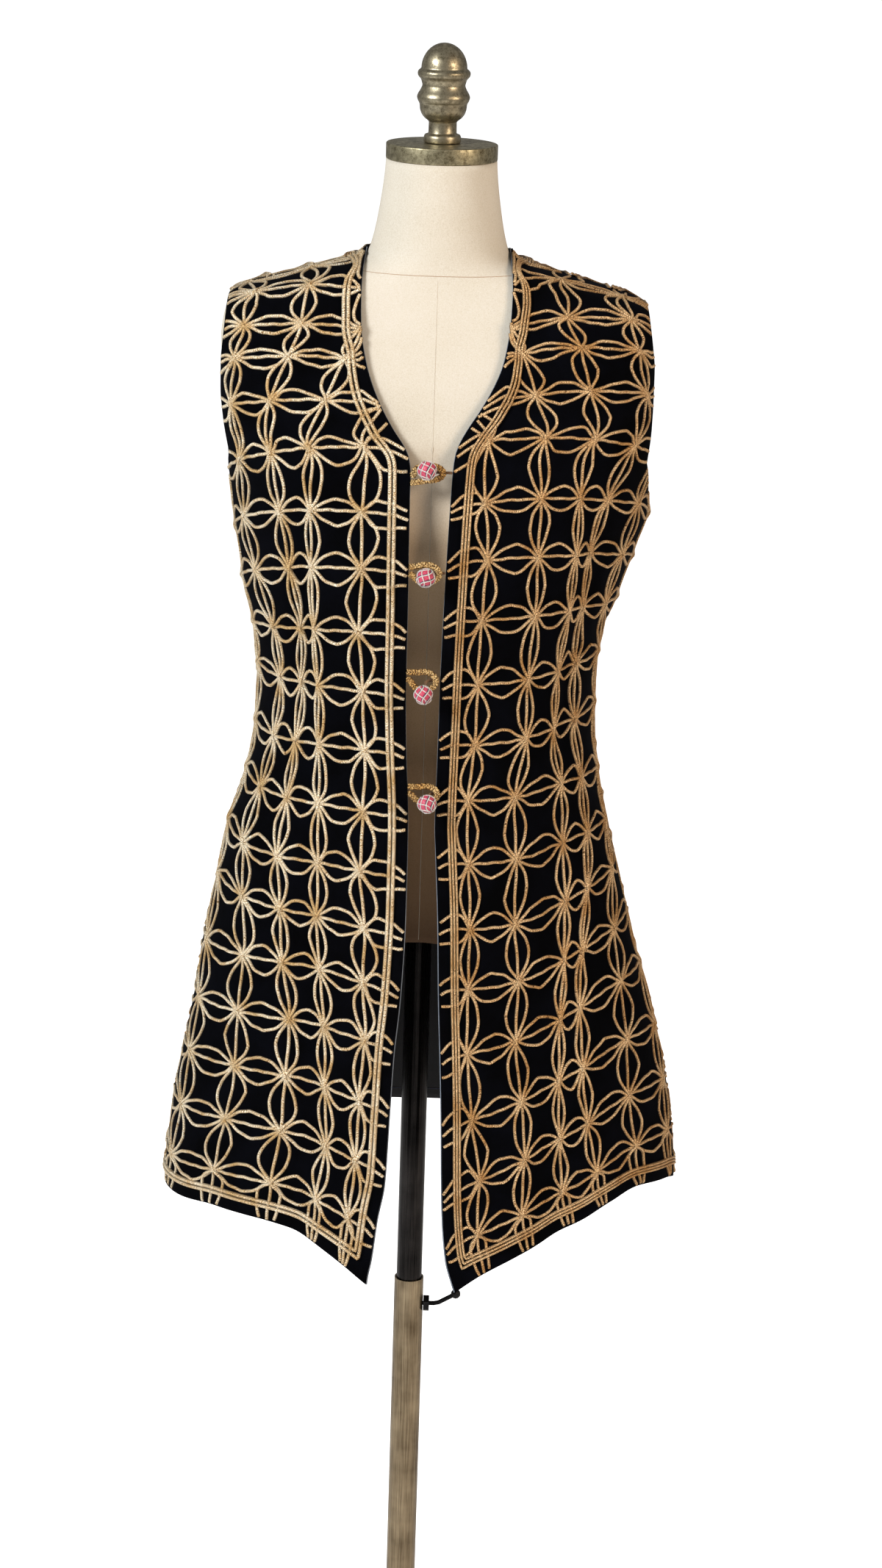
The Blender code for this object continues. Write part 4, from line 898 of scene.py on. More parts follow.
def latticeRuns(cloth, rowLine, columnLine, rowCount, columnCount, sRange, table):
    # rowLine(i, s) is how far up row i runs, columnLine(j, u) how far along column j runs.
    # The table's swing holds a row's bow up and down, and the bow of column 1 and the others.
    runs, swing = [], table["swing"]
    generator = np.random.default_rng(table["seed"])
    sPath = np.arange(*sRange, lattice["pathStep"])
    uPath = np.arange(-lattice["below"], cloth["top"] + lattice["above"], lattice["pathStep"])
    rowAt = np.array([rowLine(i, sPath) for i in range(rowCount)])
    columnAt = np.array([columnLine(j, uPath) for j in range(columnCount)])
    nearEdge = np.clip(1 - sPath / lattice["droopFrom"], 0, lattice["droopMost"])
    droop = table["droop"] * nearEdge ** lattice["droopCurve"]

    def lay(u, s, phase, known, lift, widths):
        # One cord of a line, a little unsteady, where its phase is known.
        wander = generator.uniform(0, 2 * pi, 4)
        reel = np.arange(len(u)) / len(u) * 2 * pi
        slow, fast = [turns * reel for turns in lattice["wanderTurns"]]
        u = u + lattice["wander"] * (np.sin(slow + wander[0]) + np.sin(fast + wander[1]))
        s = s + lattice["wander"] * (np.sin(slow + wander[2]) + np.sin(fast + wander[3]))
        u2, s2, where = resample(u[known], s[known], cloth, lattice["step"])
        lifts = nodeLift(np.interp(where, np.arange(known.sum()), phase[known]), lift)
        widths = np.interp(where, np.arange(known.sum()), widths[known])
        return clippedRuns(cloth, u2, s2, lifts, lattice["margin"], widths, lattice["height"])

    for i in range(1, rowCount - 1):
        own = rowAt[i]
        places = [np.interp(own, uPath, columnAt[j]) for j in range(columnCount)]
        phase = phaseAlong(sPath, places)
        known = phase >= 0
        up, down = rowAt[i + 1] - own, own - rowAt[i - 1]
        for sign, lift in zip((0, 1, -1), lattice["rowLifts"]):
            draws = petalDraws(generator, columnCount)
            draws[0] = lattice["edgePetal"]
            bow = sign * petals(phase, draws)
            u = own + np.where(bow > 0, up * swing[0], down * swing[1]) * bow
            runs += lay(u - droop, sPath, phase, known, lift, table["width"] + 0 * phase)
    for j in range(1, columnCount - 1):
        own = columnAt[j]
        places = np.array([np.interp(own, sPath, rowAt[i]) for i in range(rowCount)])
        phase = phaseAlong(uPath, places)
        known = phase >= 0
        right, left = columnAt[j + 1] - own, own - columnAt[j - 1]
        pitch = (right + left) / 2
        narrow = np.minimum(lattice["broadest"],
                            pitch / lattice["fullPitch"]) ** lattice["narrowing"]
        cell = np.clip(np.floor(phase).astype(int), 0, rowCount - 2)
        tall = np.diff(places, axis=0)[cell, np.arange(len(cell))] / lattice["fullTall"]
        share = swing[2 if j == 1 else 3] * narrow * np.minimum(1, tall) ** lattice["shortening"]
        widths = table["width"] * np.clip(
            (pitch / lattice["slimPitch"]) ** lattice["slimming"], lattice["slimmest"], 1.0)
        for sign, lift in zip((0, 1, -1), lattice["columnLifts"]):
            draws = petalDraws(generator, rowCount)
            draws[0] = lattice["hemPetal"]
            bow = sign * petals(phase, draws)
            reach = (np.where(bow > 0, right, left) + pitch) / 2 * share
            s = own + np.maximum(reach, lattice["leastBow"]) * bow
            runs += lay(uPath, s, phase, known, lift, widths)
    return runs


# Rows from the hem up: how far up the panel each starts at the edge, its slope and its bend
# towards the armhole side, and where its columns stand along it, all in millimetres.
frontLattices = {
    "right": {"swing": (0.235, 0.265, 0.255, 0.25), "seed": 11, "droop": 3.5 * mm,
              "width": 3.65 * mm, "rows": [
        (-9, -31, 12, (-15, 30, 68, 118, 186, 254, 318)),
        (49, -31, 12, (-13, 32, 70, 118, 184, 250, 314)),
        (107, -42, 19, (-12, 34, 68, 116, 178, 242, 307)),
        (165, -48, 22, (-14, 34, 72, 114, 170, 238, 298)),
        (225, -58, 26, (-15, 32, 76, 112, 170, 232, 290)),
        (277, -44, 21, (-15, 40, 86, 124, 168, 232, 287)),
        (332, -71, 50, (-15, 42, 92, 130, 176, 231, 285)),
        (387, -75, 48, (-14, 48, 92, 134, 180, 231, 283)),
        (443, -64, 41, (-15, 46, 92, 127, 164, 214, 264)),
        (501, -58, 31, (-15, 42, 90, 116, 146, 196, 246)),
        (554, -44, 28, (-14, 42, 88, 108, 134, 184, 234)),
        (609, -26, 0, (-15, 46, 92, 108, 142, 192, 242)),
        (666, 5, -31, (-15, 44, 94, 118, 164, 216, 268)),
        (716, 30, -49, (-15, 44, 94, 126, 178, 230, 280)),
        (776, 39, -41, (-18, 38, 90, 132, 172, 225, 278)),
        (816, 41, -27, (-53, -3, 48, 100, 146, 196, 246)),
        (851, 43, -17, (-80, -30, 22, 74, 126, 180, 233)),
        (878, 45, -13, (-97, -47, 1, 58, 114, 169, 224)),
        (913, 47, -10, (-104, -54, -4, 56, 116, 170, 226))]},
    "left": {"swing": (0.235, 0.235, 0.24, 0.24), "seed": 12, "droop": 6.5 * mm,
             "width": 3.3 * mm, "rows": [
        (-18, -21, 24, (-14, 34, 84, 132, 170, 220, 272)),
        (40, -21, 24, (-12, 36, 84, 130, 168, 218, 270)),
        (88, -3, 16, (-13, 40, 88, 128, 158, 210, 268)),
        (150, -24, 27, (-16, 32, 84, 126, 152, 208, 264)),
        (217, -62, 50, (-17, 28, 78, 128, 150, 204, 259)),
        (281, -100, 69, (-15, 30, 82, 134, 154, 200, 254)),
        (337, -103, 69, (-15, 32, 78, 136, 162, 208, 259)),
        (396, -88, 48, (-16, 32, 80, 134, 166, 213, 261)),
        (452, -72, 34, (-14, 32, 80, 134, 162, 210, 258)),
        (501, -65, 43, (-15, 36, 88, 120, 148, 198, 248)),
        (554, -49, 32, (-14, 36, 86, 120, 146, 195, 245)),
        (609, -10, 2, (-15, 36, 88, 124, 144, 176, 225)),
        (660, 32, -34, (-15, 38, 86, 124, 142, 186, 234)),
        (712, 67, -58, (-15, 32, 84, 122, 152, 198, 248)),
        (765, 70, -46, (-19, 26, 74, 120, 170, 218, 267)),
        (803, 76, -34, (-62, -12, 40, 88, 148, 197, 247)),
        (840, 77, -29, (-86, -36, 20, 72, 128, 181, 234)),
        (865, 80, -23, (-103, -53, 0, 56, 118, 172, 226)),
        (904, 80, -23, (-109, -59, -6, 62, 118, 173, 229))]}}

# A line and two rows past each table's last; how far a row's slope runs on past the panel; and
# the full-width share at which its bend is measured.
frontBeyond = {"column": 55 * mm, "row": 44 * mm, "slope": (-0.3, 1.1), "bendAt": 0.64}


def frontLattice(wearer):
    cloth = cloths[wearer]
    table = frontLattices[wearer]
    rows = [(level * mm, lean * mm, bend * mm) for level, lean, bend, places in table["rows"]]
    columns = np.array([places for level, lean, bend, places in table["rows"]]) * mm
    rows += [(rows[-1][0] + frontBeyond["row"] * more, *rows[-1][1:]) for more in (1, 2)]
    columns = np.concatenate([columns, columns[[-1, -1]]])
    columns = np.concatenate([columns, columns[:, [-1]] + frontBeyond["column"]], axis=1)

    def rowLine(i, s):
        level, lean, bend = rows[i]
        share = np.clip(s / edgeAt(cloth, "high", np.full(len(s), level)),
                        *frontBeyond["slope"])
        return level + lean * share + bend * share * np.abs(share) / frontBeyond["bendAt"]

    knots = np.array([rowLine(i, columns[i]) for i in range(len(rows))])
    lines = [curveThrough(knots[:, j], columns[:, j]) for j in range(columns.shape[1])]

    runs = latticeRuns(cloth, rowLine, lambda j, u: lines[j](u), len(rows), columns.shape[1],
                       (-lattice["ahead"], cloth["high"].max() + lattice["past"]), table)
    sides = [float(rowLine(i, np.array([edgeAt(cloth, "high", row[0])]))[0])
             for i, row in enumerate(rows)]
    return runs, sides


def addLattice(name, runs, material):
    mesh = ribbonMesh(name, runs)
    length = sum(lengthsAlong(run["points"])[-1] for run in runs)
    print(f"{name}: {length:.1f} m of cord, {len(mesh.polygons) * 2} triangles")
    return addPiece(mesh, material, "gold_braid")


gold = {"right": paleCord, "left": deepCord}
sideRows = {}
for wearer, material in gold.items():
    runs, sideRows[wearer] = frontLattice(wearer)
    addLattice(f"lattice_{wearer}_front", runs, material)

# The back's rows join those of the fronts at the side seams; its columns stand evenly.
backTable = {"swing": (0.235, 0.235, 0.26, 0.26), "seed": 13, "droop": 0.0, "width": 3.4 * mm,
             "eachSide": 6, "narrowest": 36 * mm, "widest": 54 * mm, "offCentre": 4 * mm,
             "halfAcross": 0.30, "evenFrom": 0.56}


def backLattice():
    cloth, eachSide = cloths["back"], backTable["eachSide"]

    def rowLine(i, s):
        share = np.clip((s / backTable["halfAcross"] + 1) / 2, 0, 1)
        return sideRows["right"][i] + (sideRows["left"][i] - sideRows["right"][i]) * share

    def columnLine(j, u):
        high = edgeAt(cloth, "high", np.clip(u, 0, vest["underarm"] - backTable["evenFrom"]))
        pitch = np.clip(high / (eachSide - 0.5), backTable["narrowest"], backTable["widest"])
        return (j - eachSide - 1) * pitch + backTable["offCentre"]

    return latticeRuns(cloth, rowLine, columnLine, len(sideRows["right"]), 2 * eachSide + 3,
                       (cloth["low"].min() - lattice["past"],
                        cloth["high"].max() + lattice["past"]), backTable)


halves = {"right": [], "left": []}
for run in backLattice():
    halves["right" if run["points"][:, 0].mean() < 0 else "left"].append(run)
for wearer, runs in halves.items():
    addLattice(f"lattice_back_{wearer}", runs, gold[wearer])
report("lattice")


# Cords along the edges and hems: how far in they lie, and beside that line their places and
# widths.
border = {"in": 16.3 * mm, "height": 1.9 * mm, "lift": 1.0 * mm, "margin": 0.8 * mm,
          "two": (-2.2 * mm, 2.2 * mm), "twoWide": 4.0 * mm,
          "three": (-2.95 * mm, 0.0, 2.95 * mm), "threeWide": 2.6 * mm,
          "hemRow": 4, "evenedOver": 5, "neckSlope": 0.96, "neckSteps": 120}


def edgeOffset(values, step, off):
    # Way along the rows that stands off square from a slanting edge.
    count = border["evenedOver"]
    slope = np.pad(np.gradient(values, step), count // 2, mode="edge")
    slope = np.convolve(slope, np.ones(count) / count, mode="valid")
    return off * np.sqrt(1 + slope * slope)


def frontBorder(wearer, places, width):
    # Cords down the front edge from the shoulder, round the tip and along the hem.
    cloth, step = cloths[wearer], lattice["pathStep"]
    levels = np.arange(0, cloth["top"], step)
    side = -1 if wearer == "right" else 1
    outX = side * clothAt(cloth, levels, 0 * levels)[0][:, 0]
    runs = []
    for place in places:
        off = border["in"] + place
        along = edgeOffset(outX, step, off)
        sHem = np.arange(0, cloth["high"][border["hemRow"]], step)
        up = edgeOffset(clothAt(cloth, 0 * sHem, sHem)[0][:, 2], step, off)
        # the two offset lines meet in a mitre at the tip
        cross = next(k for k in range(len(levels))
                     if levels[k] > np.interp(along[k], sHem, up))
        corner = (levels[cross], along[cross])
        downPart = slice(len(levels) - 1, cross, -1)
        hemPart = sHem > corner[1]
        u = np.concatenate([levels[downPart], [corner[0]], up[hemPart]])
        s = np.concatenate([along[downPart], [corner[1]], sHem[hemPart]])
        runs += clippedRuns(cloth, *resample(u, s, cloth, lattice["step"])[:2],
                            border["lift"], border["margin"], width, border["height"])
    return runs


for wearer, cords in (("right", "two"), ("left", "three")):
    mesh = ribbonMesh(f"border_{wearer}_front",
                      frontBorder(wearer, border[cords], border[f"{cords}Wide"]))
    addPiece(mesh, gold[wearer], "gold_braid",
                               f"front_{wearer}_braid")


def backBorders():
    # Cords along the back's hem, and round its neckline from shoulder to shoulder.
    cloth, step = cloths["back"], lattice["pathStep"]
    s = np.arange(cloth["low"][border["hemRow"]], cloth["high"][border["hemRow"]], step)
    hemHeights = clothAt(cloth, 0 * s, s)[0][:, 2]
    hemRuns, neckRuns = [], []
    for place in border["three"]:
        off = border["in"] + place
        up = edgeOffset(hemHeights, step, off)
        hemRuns += clippedRuns(cloth, *resample(up, s, cloth, lattice["step"])[:2],
                               border["lift"], border["margin"], border["threeWide"],
                               border["height"])
        widest = vest["neckPoint"] + off * border["neckSlope"]
        top, low = shoulderRidge(widest), vest["nape"] - off * border["neckSlope"]
        x = -widest * np.cos(np.linspace(0, pi, border["neckSteps"]))
        points = surfacePoint(x, low + (top - low) * (x / widest) ** 2, 1)
        neckRuns.append({"points": points, "normals": outward(points, 1),
                         "lifts": border["lift"], "width": border["threeWide"],
                         "height": border["height"]})
    return {"hem": hemRuns, "neck": neckRuns}


for place, runs in backBorders().items():
    mesh = ribbonMesh(f"border_back_{place}", runs)
    addPiece(mesh, deepCord, "gold_braid", f"back_{place}_braid")
report("borders")


# A pale cotton facing behind each front's edge, rolled out a little past the velvet low down
# and along the neckline, and a stitched hem inside the back.
facing = {"columns": 4, "rows": 240, "wide": 12 * mm, "thick": 0.5 * mm, "sunk": 0.15 * mm,
          "past": curveThrough((0.0, 0.06, 0.20, 0.34, 0.45, 0.70, 0.80, 0.97),
                               (1.4 * mm, 1.2 * mm, 1.0 * mm, 0.8 * mm, 0.2 * mm, 0.2 * mm,
                                0.6 * mm, 0.2 * mm))}
hemStitch = {"row": 3, "up": 11 * mm, "fromSeam": 4 * mm, "step": 2 * mm, "lift": 0.1 * mm,
             "width": 0.9 * mm, "height": 0.35 * mm}


def facingSpan(u):
    # From a little past the velvet's edge to the facing's width.
    return -facing["past"](u), facing["wide"] + 0 * u


for wearer in gold:
    near = vest["velvetThick"] - facing["sunk"]
    mesh = panelMesh(f"facing_{wearer}_front", cloths[wearer], facing["columns"],
                     facing["rows"], near, near + facing["thick"], span=facingSpan)
    addPiece(mesh, paleFacing, "lining")


def addHemStitch():
    cloth, row = cloths["back"], hemStitch["row"]
    along = np.arange(cloth["low"][row] + hemStitch["fromSeam"],
                      cloth["high"][row] - hemStitch["fromSeam"], hemStitch["step"])
    points, normals = clothAt(cloth, np.full(len(along), hemStitch["up"]), along)
    mesh = ribbonMesh("stitch_back_hem", [
        {"points": points - normals * (liningNear + vest["liningThick"]), "normals": -normals,
         "lifts": hemStitch["lift"], "width": hemStitch["width"],
         "height": hemStitch["height"]}])
    addPiece(mesh, navySilk, "lining")


addHemStitch()
report("facings")


# The linen form's rings: height, half width, depths in front and behind, corner.
formRings = [
    (0.825, 0.161, 0.104, 0.122, 2.2), (0.880, 0.168, 0.108, 0.126, 2.2),
    (0.940, 0.160, 0.104, 0.117, 2.2), (1.000, 0.142, 0.096, 0.099, 2.2),
    (1.050, 0.125, 0.089, 0.086, 2.2), (1.100, 0.124, 0.092, 0.084, 2.2),
    (1.160, 0.138, 0.104, 0.091, 2.2), (1.220, 0.152, 0.122, 0.099, 2.3),
    (1.250, 0.157, 0.126, 0.102, 2.3), (1.290, 0.164, 0.119, 0.105, 2.4),
    (1.320, 0.176, 0.109, 0.106, 2.6), (1.350, 0.191, 0.099, 0.105, 3.0),
    (1.380, 0.2015, 0.090, 0.101, 3.5), (1.405, 0.2035, 0.080, 0.093, 4.0),
    (1.425, 0.2010, 0.070, 0.083, 4.0), (1.437, 0.1970, 0.0640, 0.0755, 4.0),
    (1.4428, 0.1900, 0.0615, 0.0720, 3.8), (1.4514, 0.1600, 0.0585, 0.0680, 3.4),
    (1.4602, 0.1300, 0.0562, 0.0645, 3.0), (1.4690, 0.1000, 0.0545, 0.0615, 2.6),
    (1.4738, 0.0825, 0.0540, 0.0600, 2.4), (1.4783, 0.0735, 0.0535, 0.0588, 2.2),
    (1.4834, 0.0678, 0.0532, 0.0578, 2.1), (1.4900, 0.0650, 0.0530, 0.0570, 2.0),
    (1.5160, 0.0590, 0.0525, 0.0550, 2.0), (1.5600, 0.0530, 0.0525, 0.0530, 2.0),
    (1.5720, 0.0522, 0.0522, 0.0522, 2.0)]
form = tableCurves(("side", "front", "back", "corner"), formRings)

# How far the form falls back at the centre front, between the breasts and down the belly.
valley = {"wide": 44 * mm, "deep": curveThrough(
    (0.825, 0.98, 1.05, 1.12, 1.20, 1.262, 1.318), (26 * mm, 20 * mm, 10 * mm, 12 * mm,
                                                    19 * mm, 19 * mm, 0.0))}


def formPoint(angle, z):
    # Angle from the front, turning towards the wearer's left.
    corner = form["corner"](z)
    ratio = np.sin(angle)
    depth = np.maximum(0.0, 1 - np.abs(ratio) ** corner) ** (1 / corner)
    reach = np.where(np.cos(angle) > 0, form["front"](z), -form["back"](z))
    x = form["side"](z) * ratio
    fall = valley["deep"](z) * np.exp(-(x / valley["wide"]) ** 2) * (np.cos(angle) > 0)
    return np.stack([x, fall - reach * depth, z + 0 * angle], axis=-1)


# The form's ends close in shrinking rings.
cover = {"around": 96, "ringStep": 7 * mm, "foot": (0.02, 0.35, 0.7, 0.93),
         "top": (0.9, 0.5, 0.02)}
seam = {"foot": 0.828, "frontTop": 1.466, "backTop": 1.570, "step": 2.5 * mm, "width": 0.8 * mm,
        "height": 0.12 * mm, "lift": 0.1 * mm,
        "neckHeight": 1.4730, "neckTilt": 3.0 * mm, "neckSteps": 160, "neckTall": 0.15 * mm}


def addForm():
    levels = [ring[0] for ring in formRings]
    heights = np.unique(np.concatenate([
        np.linspace(low, high, 1 + max(1, int(round((high - low) / cover["ringStep"]))))
        for low, high in zip(levels, levels[1:])]))
    angles = np.linspace(0, 2 * pi, cover["around"] + 1)
    rings = formPoint(angles[None, :] + 0 * heights[:, None],
                      heights[:, None] + 0 * angles[None, :])
    foot = [rings[0] * np.array([k, k, 1.0]) for k in cover["foot"]]
    top = [rings[-1] * np.array([k, k, 1.0]) for k in cover["top"]]
    grid = np.concatenate([np.array(foot), rings, np.array(top)])
    mesh = gridMesh("linen_form", cover["around"], len(grid) - 1, grid, closed=True)
    addPiece(mesh, linenMaterial, "linen", "form_torso")


def seamRun(points, height):
    # The form's axis is upright through the origin, so a seam faces away from it.
    return {"points": points, "normals": unit(points * np.array([1.0, 1.0, 0.0])),
            "lifts": seam["lift"], "width": seam["width"], "height": height}


def addSeams():
    # Thin seams down the centre front and back, and one round the neck that dips in front.
    upright = []
    for angle, top in ((0.0, seam["frontTop"]), (pi, seam["backTop"])):
        z = np.arange(seam["foot"], top, seam["step"])
        upright.append(seamRun(formPoint(angle + 0 * z, z), seam["height"]))
    addPiece(ribbonMesh("form_seams", upright), seamThread, "linen")
    turn = np.linspace(0, 2 * pi, seam["neckSteps"])
    level = seam["neckHeight"] - seam["neckTilt"] * np.cos(turn)
    neck = [seamRun(formPoint(turn, level), seam["neckTall"])]
    addPiece(ribbonMesh("neck_seam", neck), neckThread, "linen")


addForm()
addSeams()
report("form")


def turnedMesh(name, profile, around):
    # The profile is (radius, height) from the bottom centre up the outside to the top centre.
    bm = bmesh.new()
    verts = [bm.verts.new((radius, 0, height)) for radius, height in profile]
    edges = [bm.edges.new(pair) for pair in zip(verts, verts[1:])]
    bmesh.ops.spin(bm, geom=verts + edges, cent=(0, 0, 0), axis=(0, 0, 1), angle=2 * pi,
                   steps=around, use_merge=True)
    bmesh.ops.remove_doubles(bm, verts=bm.verts[:], dist=joined["turned"])
    bmesh.ops.recalc_face_normals(bm, faces=bm.faces[:])
    return meshFrom(bm, name)


def roundedProfile(points, radius, steps, most=0.45):
    # Rounds each inner corner of a profile; a round takes at most that share of either side.
    points = [np.array(p, float) for p in points]
    out = [points[0]]
    for before, corner, after in zip(points, points[1:], points[2:]):
        a, b = before - corner, after - corner
        la, lb = np.linalg.norm(a), np.linalg.norm(b)
        cut = min(radius, la * most, lb * most)
        start, end = corner + a / la * cut, corner + b / lb * cut
        for k in range(steps + 1):
            t = k / steps
            out.append(start * (1 - t) ** 2 + corner * 2 * t * (1 - t) + end * t * t)
    out.append(points[-1])
    return out


cap = {"low": 1.5723, "radius": 52.5 * mm, "thick": 15 * mm, "rounded": 1.4 * mm,
       "roundSteps": 4, "around": 96}
capHigh = cap["low"] + cap["thick"]
capProfile = roundedProfile([(0.0, cap["low"]), (cap["radius"], cap["low"]),
                             (cap["radius"], capHigh), (0.0, capHigh)], cap["rounded"],
                            cap["roundSteps"])
addPiece(turnedMesh("neck_cap_turned", capProfile, cap["around"]), capBrass, "antique_brass",
         "neck_cap")

# The finial from its seat on the cap: a foot, a waist, the bowl with its beads, and a dome.
finial = {"seat": capHigh + vest["touch"], "seatRadius": 0.0168,
          "rounded": 1.2 * mm, "roundSteps": 2, "around": 80,
          "domeRadius": 0.0215, "domeCentre": 1.6564, "domeTall": 0.0236, "domeSteps": 14,
          "outline": [
              (0.0175, 1.5890), (0.0175, 1.5932), (0.0166, 1.5955), (0.0133, 1.5962),
              (0.0131, 1.6072), (0.0146, 1.6086), (0.0176, 1.6108), (0.0203, 1.6143),
              (0.0218, 1.6185), (0.0223, 1.6240), (0.0238, 1.6262), (0.0250, 1.6298),
              (0.0240, 1.6330), (0.0219, 1.6362), (0.0199, 1.6407), (0.0216, 1.6465),
              (0.0242, 1.6490), (0.0248, 1.6514), (0.0245, 1.6538), (0.0226, 1.6555)]}
dome = [(finial["domeRadius"] * sin(a), finial["domeCentre"] + finial["domeTall"] * cos(a))
        for a in np.linspace(pi / 2, 0.0, finial["domeSteps"])]
finialProfile = roundedProfile(
    [(0.0, finial["seat"]), (finial["seatRadius"], finial["seat"])] + finial["outline"] + dome,
    finial["rounded"], finial["roundSteps"])
addPiece(turnedMesh("finial_turned", finialProfile, finial["around"]), finialBrass,
         "antique_brass", "finial")

# The stand's solids are true to shape already, so they keep their meshes.
for nodeName, material in (("base_plate", baseSteel), ("lower_tube", tubeSteel),
                           ("clamp_nut", blackSteel), ("clamp_lever", blackSteel),
                           ("inner_pole", poleSteel)):
    node = nodes[nodeName]
    node.data.materials.clear()
    node.data.materials.append(material)
report("stand")


# Four knotted buttons on cord shanks from the left front's edge, with plaited loops from the
# right front's edge.  Each row: height and way across the gap; the loop's root above the
# button; the loop's middle across and up from it; the loop's half width and half height.
fastening = {
    "radius": 8.8 * mm, "proud": 14.2 * mm, "seat": 0.9 * mm, "straight": 2.5 * mm,
    "ballIn": 0.5 * mm, "lobes": 2.5, "lobeLean": 3.2, "lobeDeep": 0.045,
    "shankStart": (1.0, 5.0), "shankKnee": (2.0, 11.5), "shankTurn": 8.0, "shankBehind": 15.6,
    "shankStep": 1.0 * mm, "shankSoft": 4, "shankPlait": (0.75 * mm, 0.4 * mm, 5.0 * mm),
    "shankStrand": 0.8 * mm,
    "loopBehind": 11.45, "loopApart": 3.4 * mm, "loopOpen": radians(48), "loopSteps": 33,
    "loopStep": 0.9 * mm, "loopSoft": 5, "loopPlait": (1.75 * mm, 0.75 * mm, 9.5 * mm),
    "loopStrand": 1.45 * mm, "strandSides": 8,
    "net": 0.52 * mm, "netIn": 0.1 * mm, "netLines": 6, "netLean": 1.1, "netSteps": 40,
    "netEnds": (0.05 * pi, 0.95 * pi), "netWeave": 0.03, "netWaves": 4,
    "netTilts": ((1.1, 0.4), (1.4, -0.5), (1.2, 0.2), (0.9, 0.6)),
    "knots": 0.36 * mm, "knotsIn": 0.25 * mm, "knotsTurn": 0.17, "netSides": 6,
    "rows": [(1.303, 0.40, -11.0, 1.5, -4.5, 13.5, 7.0),
             (1.203, 0.47, 3.0, 0.0, 1.5, 12.5, 8.5),
             (1.089, 0.52, 14.5, 0.0, 10.5, 11.5, 9.0),
             (0.982, 0.70, 9.0, -2.5, 6.5, 12.0, 8.0)]}


def evenPath(points, step):
    # The same path in even steps.
    points = np.asarray(points, float)
    along = lengthsAlong(points)
    even = np.linspace(0, along[-1], max(3, int(round(along[-1] / step)) + 1))
    return np.stack([np.interp(even, along, points[:, k]) for k in range(3)], axis=1)


def softened(points, rounds):
    # A path with its bends rounded, and its ends where they were.
    for step in range(rounds):
        middle = (points[:-2] + 2 * points[1:-1] + points[2:]) / 4
        points = np.concatenate([points[:1], middle, points[-1:]])
    return points


def plaited(path, swing, depth, twist):
    # Three strands of a flat plait about a path.
    tangent = unit(np.gradient(path, axis=0))
    side = unit(np.cross(tangent, (0, -1.0, 0)))
    front = np.cross(side, tangent)
    along = lengthsAlong(path)
    strands = []
    for k in range(3):
        turn = 2 * pi * (along / twist + k / 3)
        strands.append(path + side * (swing * np.sin(turn))[:, None]
                       + front * (depth * np.sin(2 * turn))[:, None])
    return strands


def netLine(centre, radius, lean, around, tilt):
    # One line of a button's net: it leans as it runs from pole to pole, and the net's axis
    # is tilted up from the viewer and turned to one side.
    t = np.linspace(*fastening["netEnds"], fastening["netSteps"])
    turn = around + lean * np.cos(t)
    wave = np.sin(fastening["netWaves"] * turn + (pi if lean > 0 else 0))
    out = radius * (1 + fastening["netWeave"] * wave)
    x, y, z = out * np.sin(t) * np.cos(turn), -out * np.cos(t), out * np.sin(t) * np.sin(turn)
    y, z = y * cos(tilt[0]) - z * sin(tilt[0]), y * sin(tilt[0]) + z * cos(tilt[0])
    x, z = x * cos(tilt[1]) - z * sin(tilt[1]), x * sin(tilt[1]) + z * cos(tilt[1])
    return centre + np.stack([x, y, z], axis=1)


def surfaceAt(wearer, z):
    # The point of a front's edge at a height.
    return surfacePoint(frontEdge[wearer](z), np.array(z), -1)


def makeBall(number, centre):
    # A ball of rose silk with slanting lobes under its net.
    bm = bmesh.new()
    bmesh.ops.create_uvsphere(bm, u_segments=40, v_segments=28,
                              radius=fastening["radius"] - fastening["ballIn"])
    for vert in bm.verts:
        turn = fastening["lobes"] * atan2(vert.co.z, vert.co.x)
        lean = fastening["lobeLean"] * (vert.co.y / fastening["radius"])
        ridge = abs(sin(turn + lean)) + abs(sin(turn - lean))
        vert.co = Vector(centre) + vert.co * (1 + fastening["lobeDeep"] * (ridge - 1))
    bmesh.ops.recalc_face_normals(bm, faces=bm.faces[:])
    addPiece(meshFrom(bm, f"button_{number}_ball"), roseSilk, "button_silk", f"button_{number}")


def makeNet(number, centre):
    # Silver threads that cross over the ball, with a dark thread beside every other one.
    lines, lean, sides = fastening["netLines"], fastening["netLean"], fastening["netSides"]
    spread, tilt = 2 * pi / lines, fastening["netTilts"][number - 1]
    silver = [netLine(centre, fastening["radius"] - fastening["netIn"], way * lean, k * spread,
                      tilt) for way in (1, -1) for k in range(lines)]
    mesh = tubeMesh(f"button_{number}_net", silver, fastening["net"], sides)
    addPiece(mesh, whiteThread, "button_silk")
    dark = [netLine(centre, fastening["radius"] - fastening["knotsIn"], lean,
                    k * spread + fastening["knotsTurn"], tilt) for k in range(lines)]
    mesh = tubeMesh(f"button_{number}_knots", dark, fastening["knots"], sides)
    addPiece(mesh, navySilk, "button_silk")


def makeShank(number, centre, sewn):
    # A plaited shank from behind the ball to its root on the left front's edge.
    seat = sewn + np.array([-fastening["seat"], vest["velvetThick"] / 2, 0])
    level = (seat[2] - centre[2]) / mm
    behind = np.array([min(centre[0] + fastening["shankTurn"] * mm,
                           seat[0] - fastening["straight"]),
                       centre[1] + fastening["shankBehind"] * mm, seat[2]])
    path = softened(evenPath([centre + np.array([*fastening["shankStart"], 0]) * mm,
                              centre + np.array([*fastening["shankKnee"], level]) * mm,
                              behind, seat], fastening["shankStep"]), fastening["shankSoft"])
    mesh = tubeMesh(f"button_{number}_shank", plaited(path, *fastening["shankPlait"]),
                    fastening["shankStrand"], fastening["strandSides"])
    addPiece(mesh, brownCord, "button_silk")


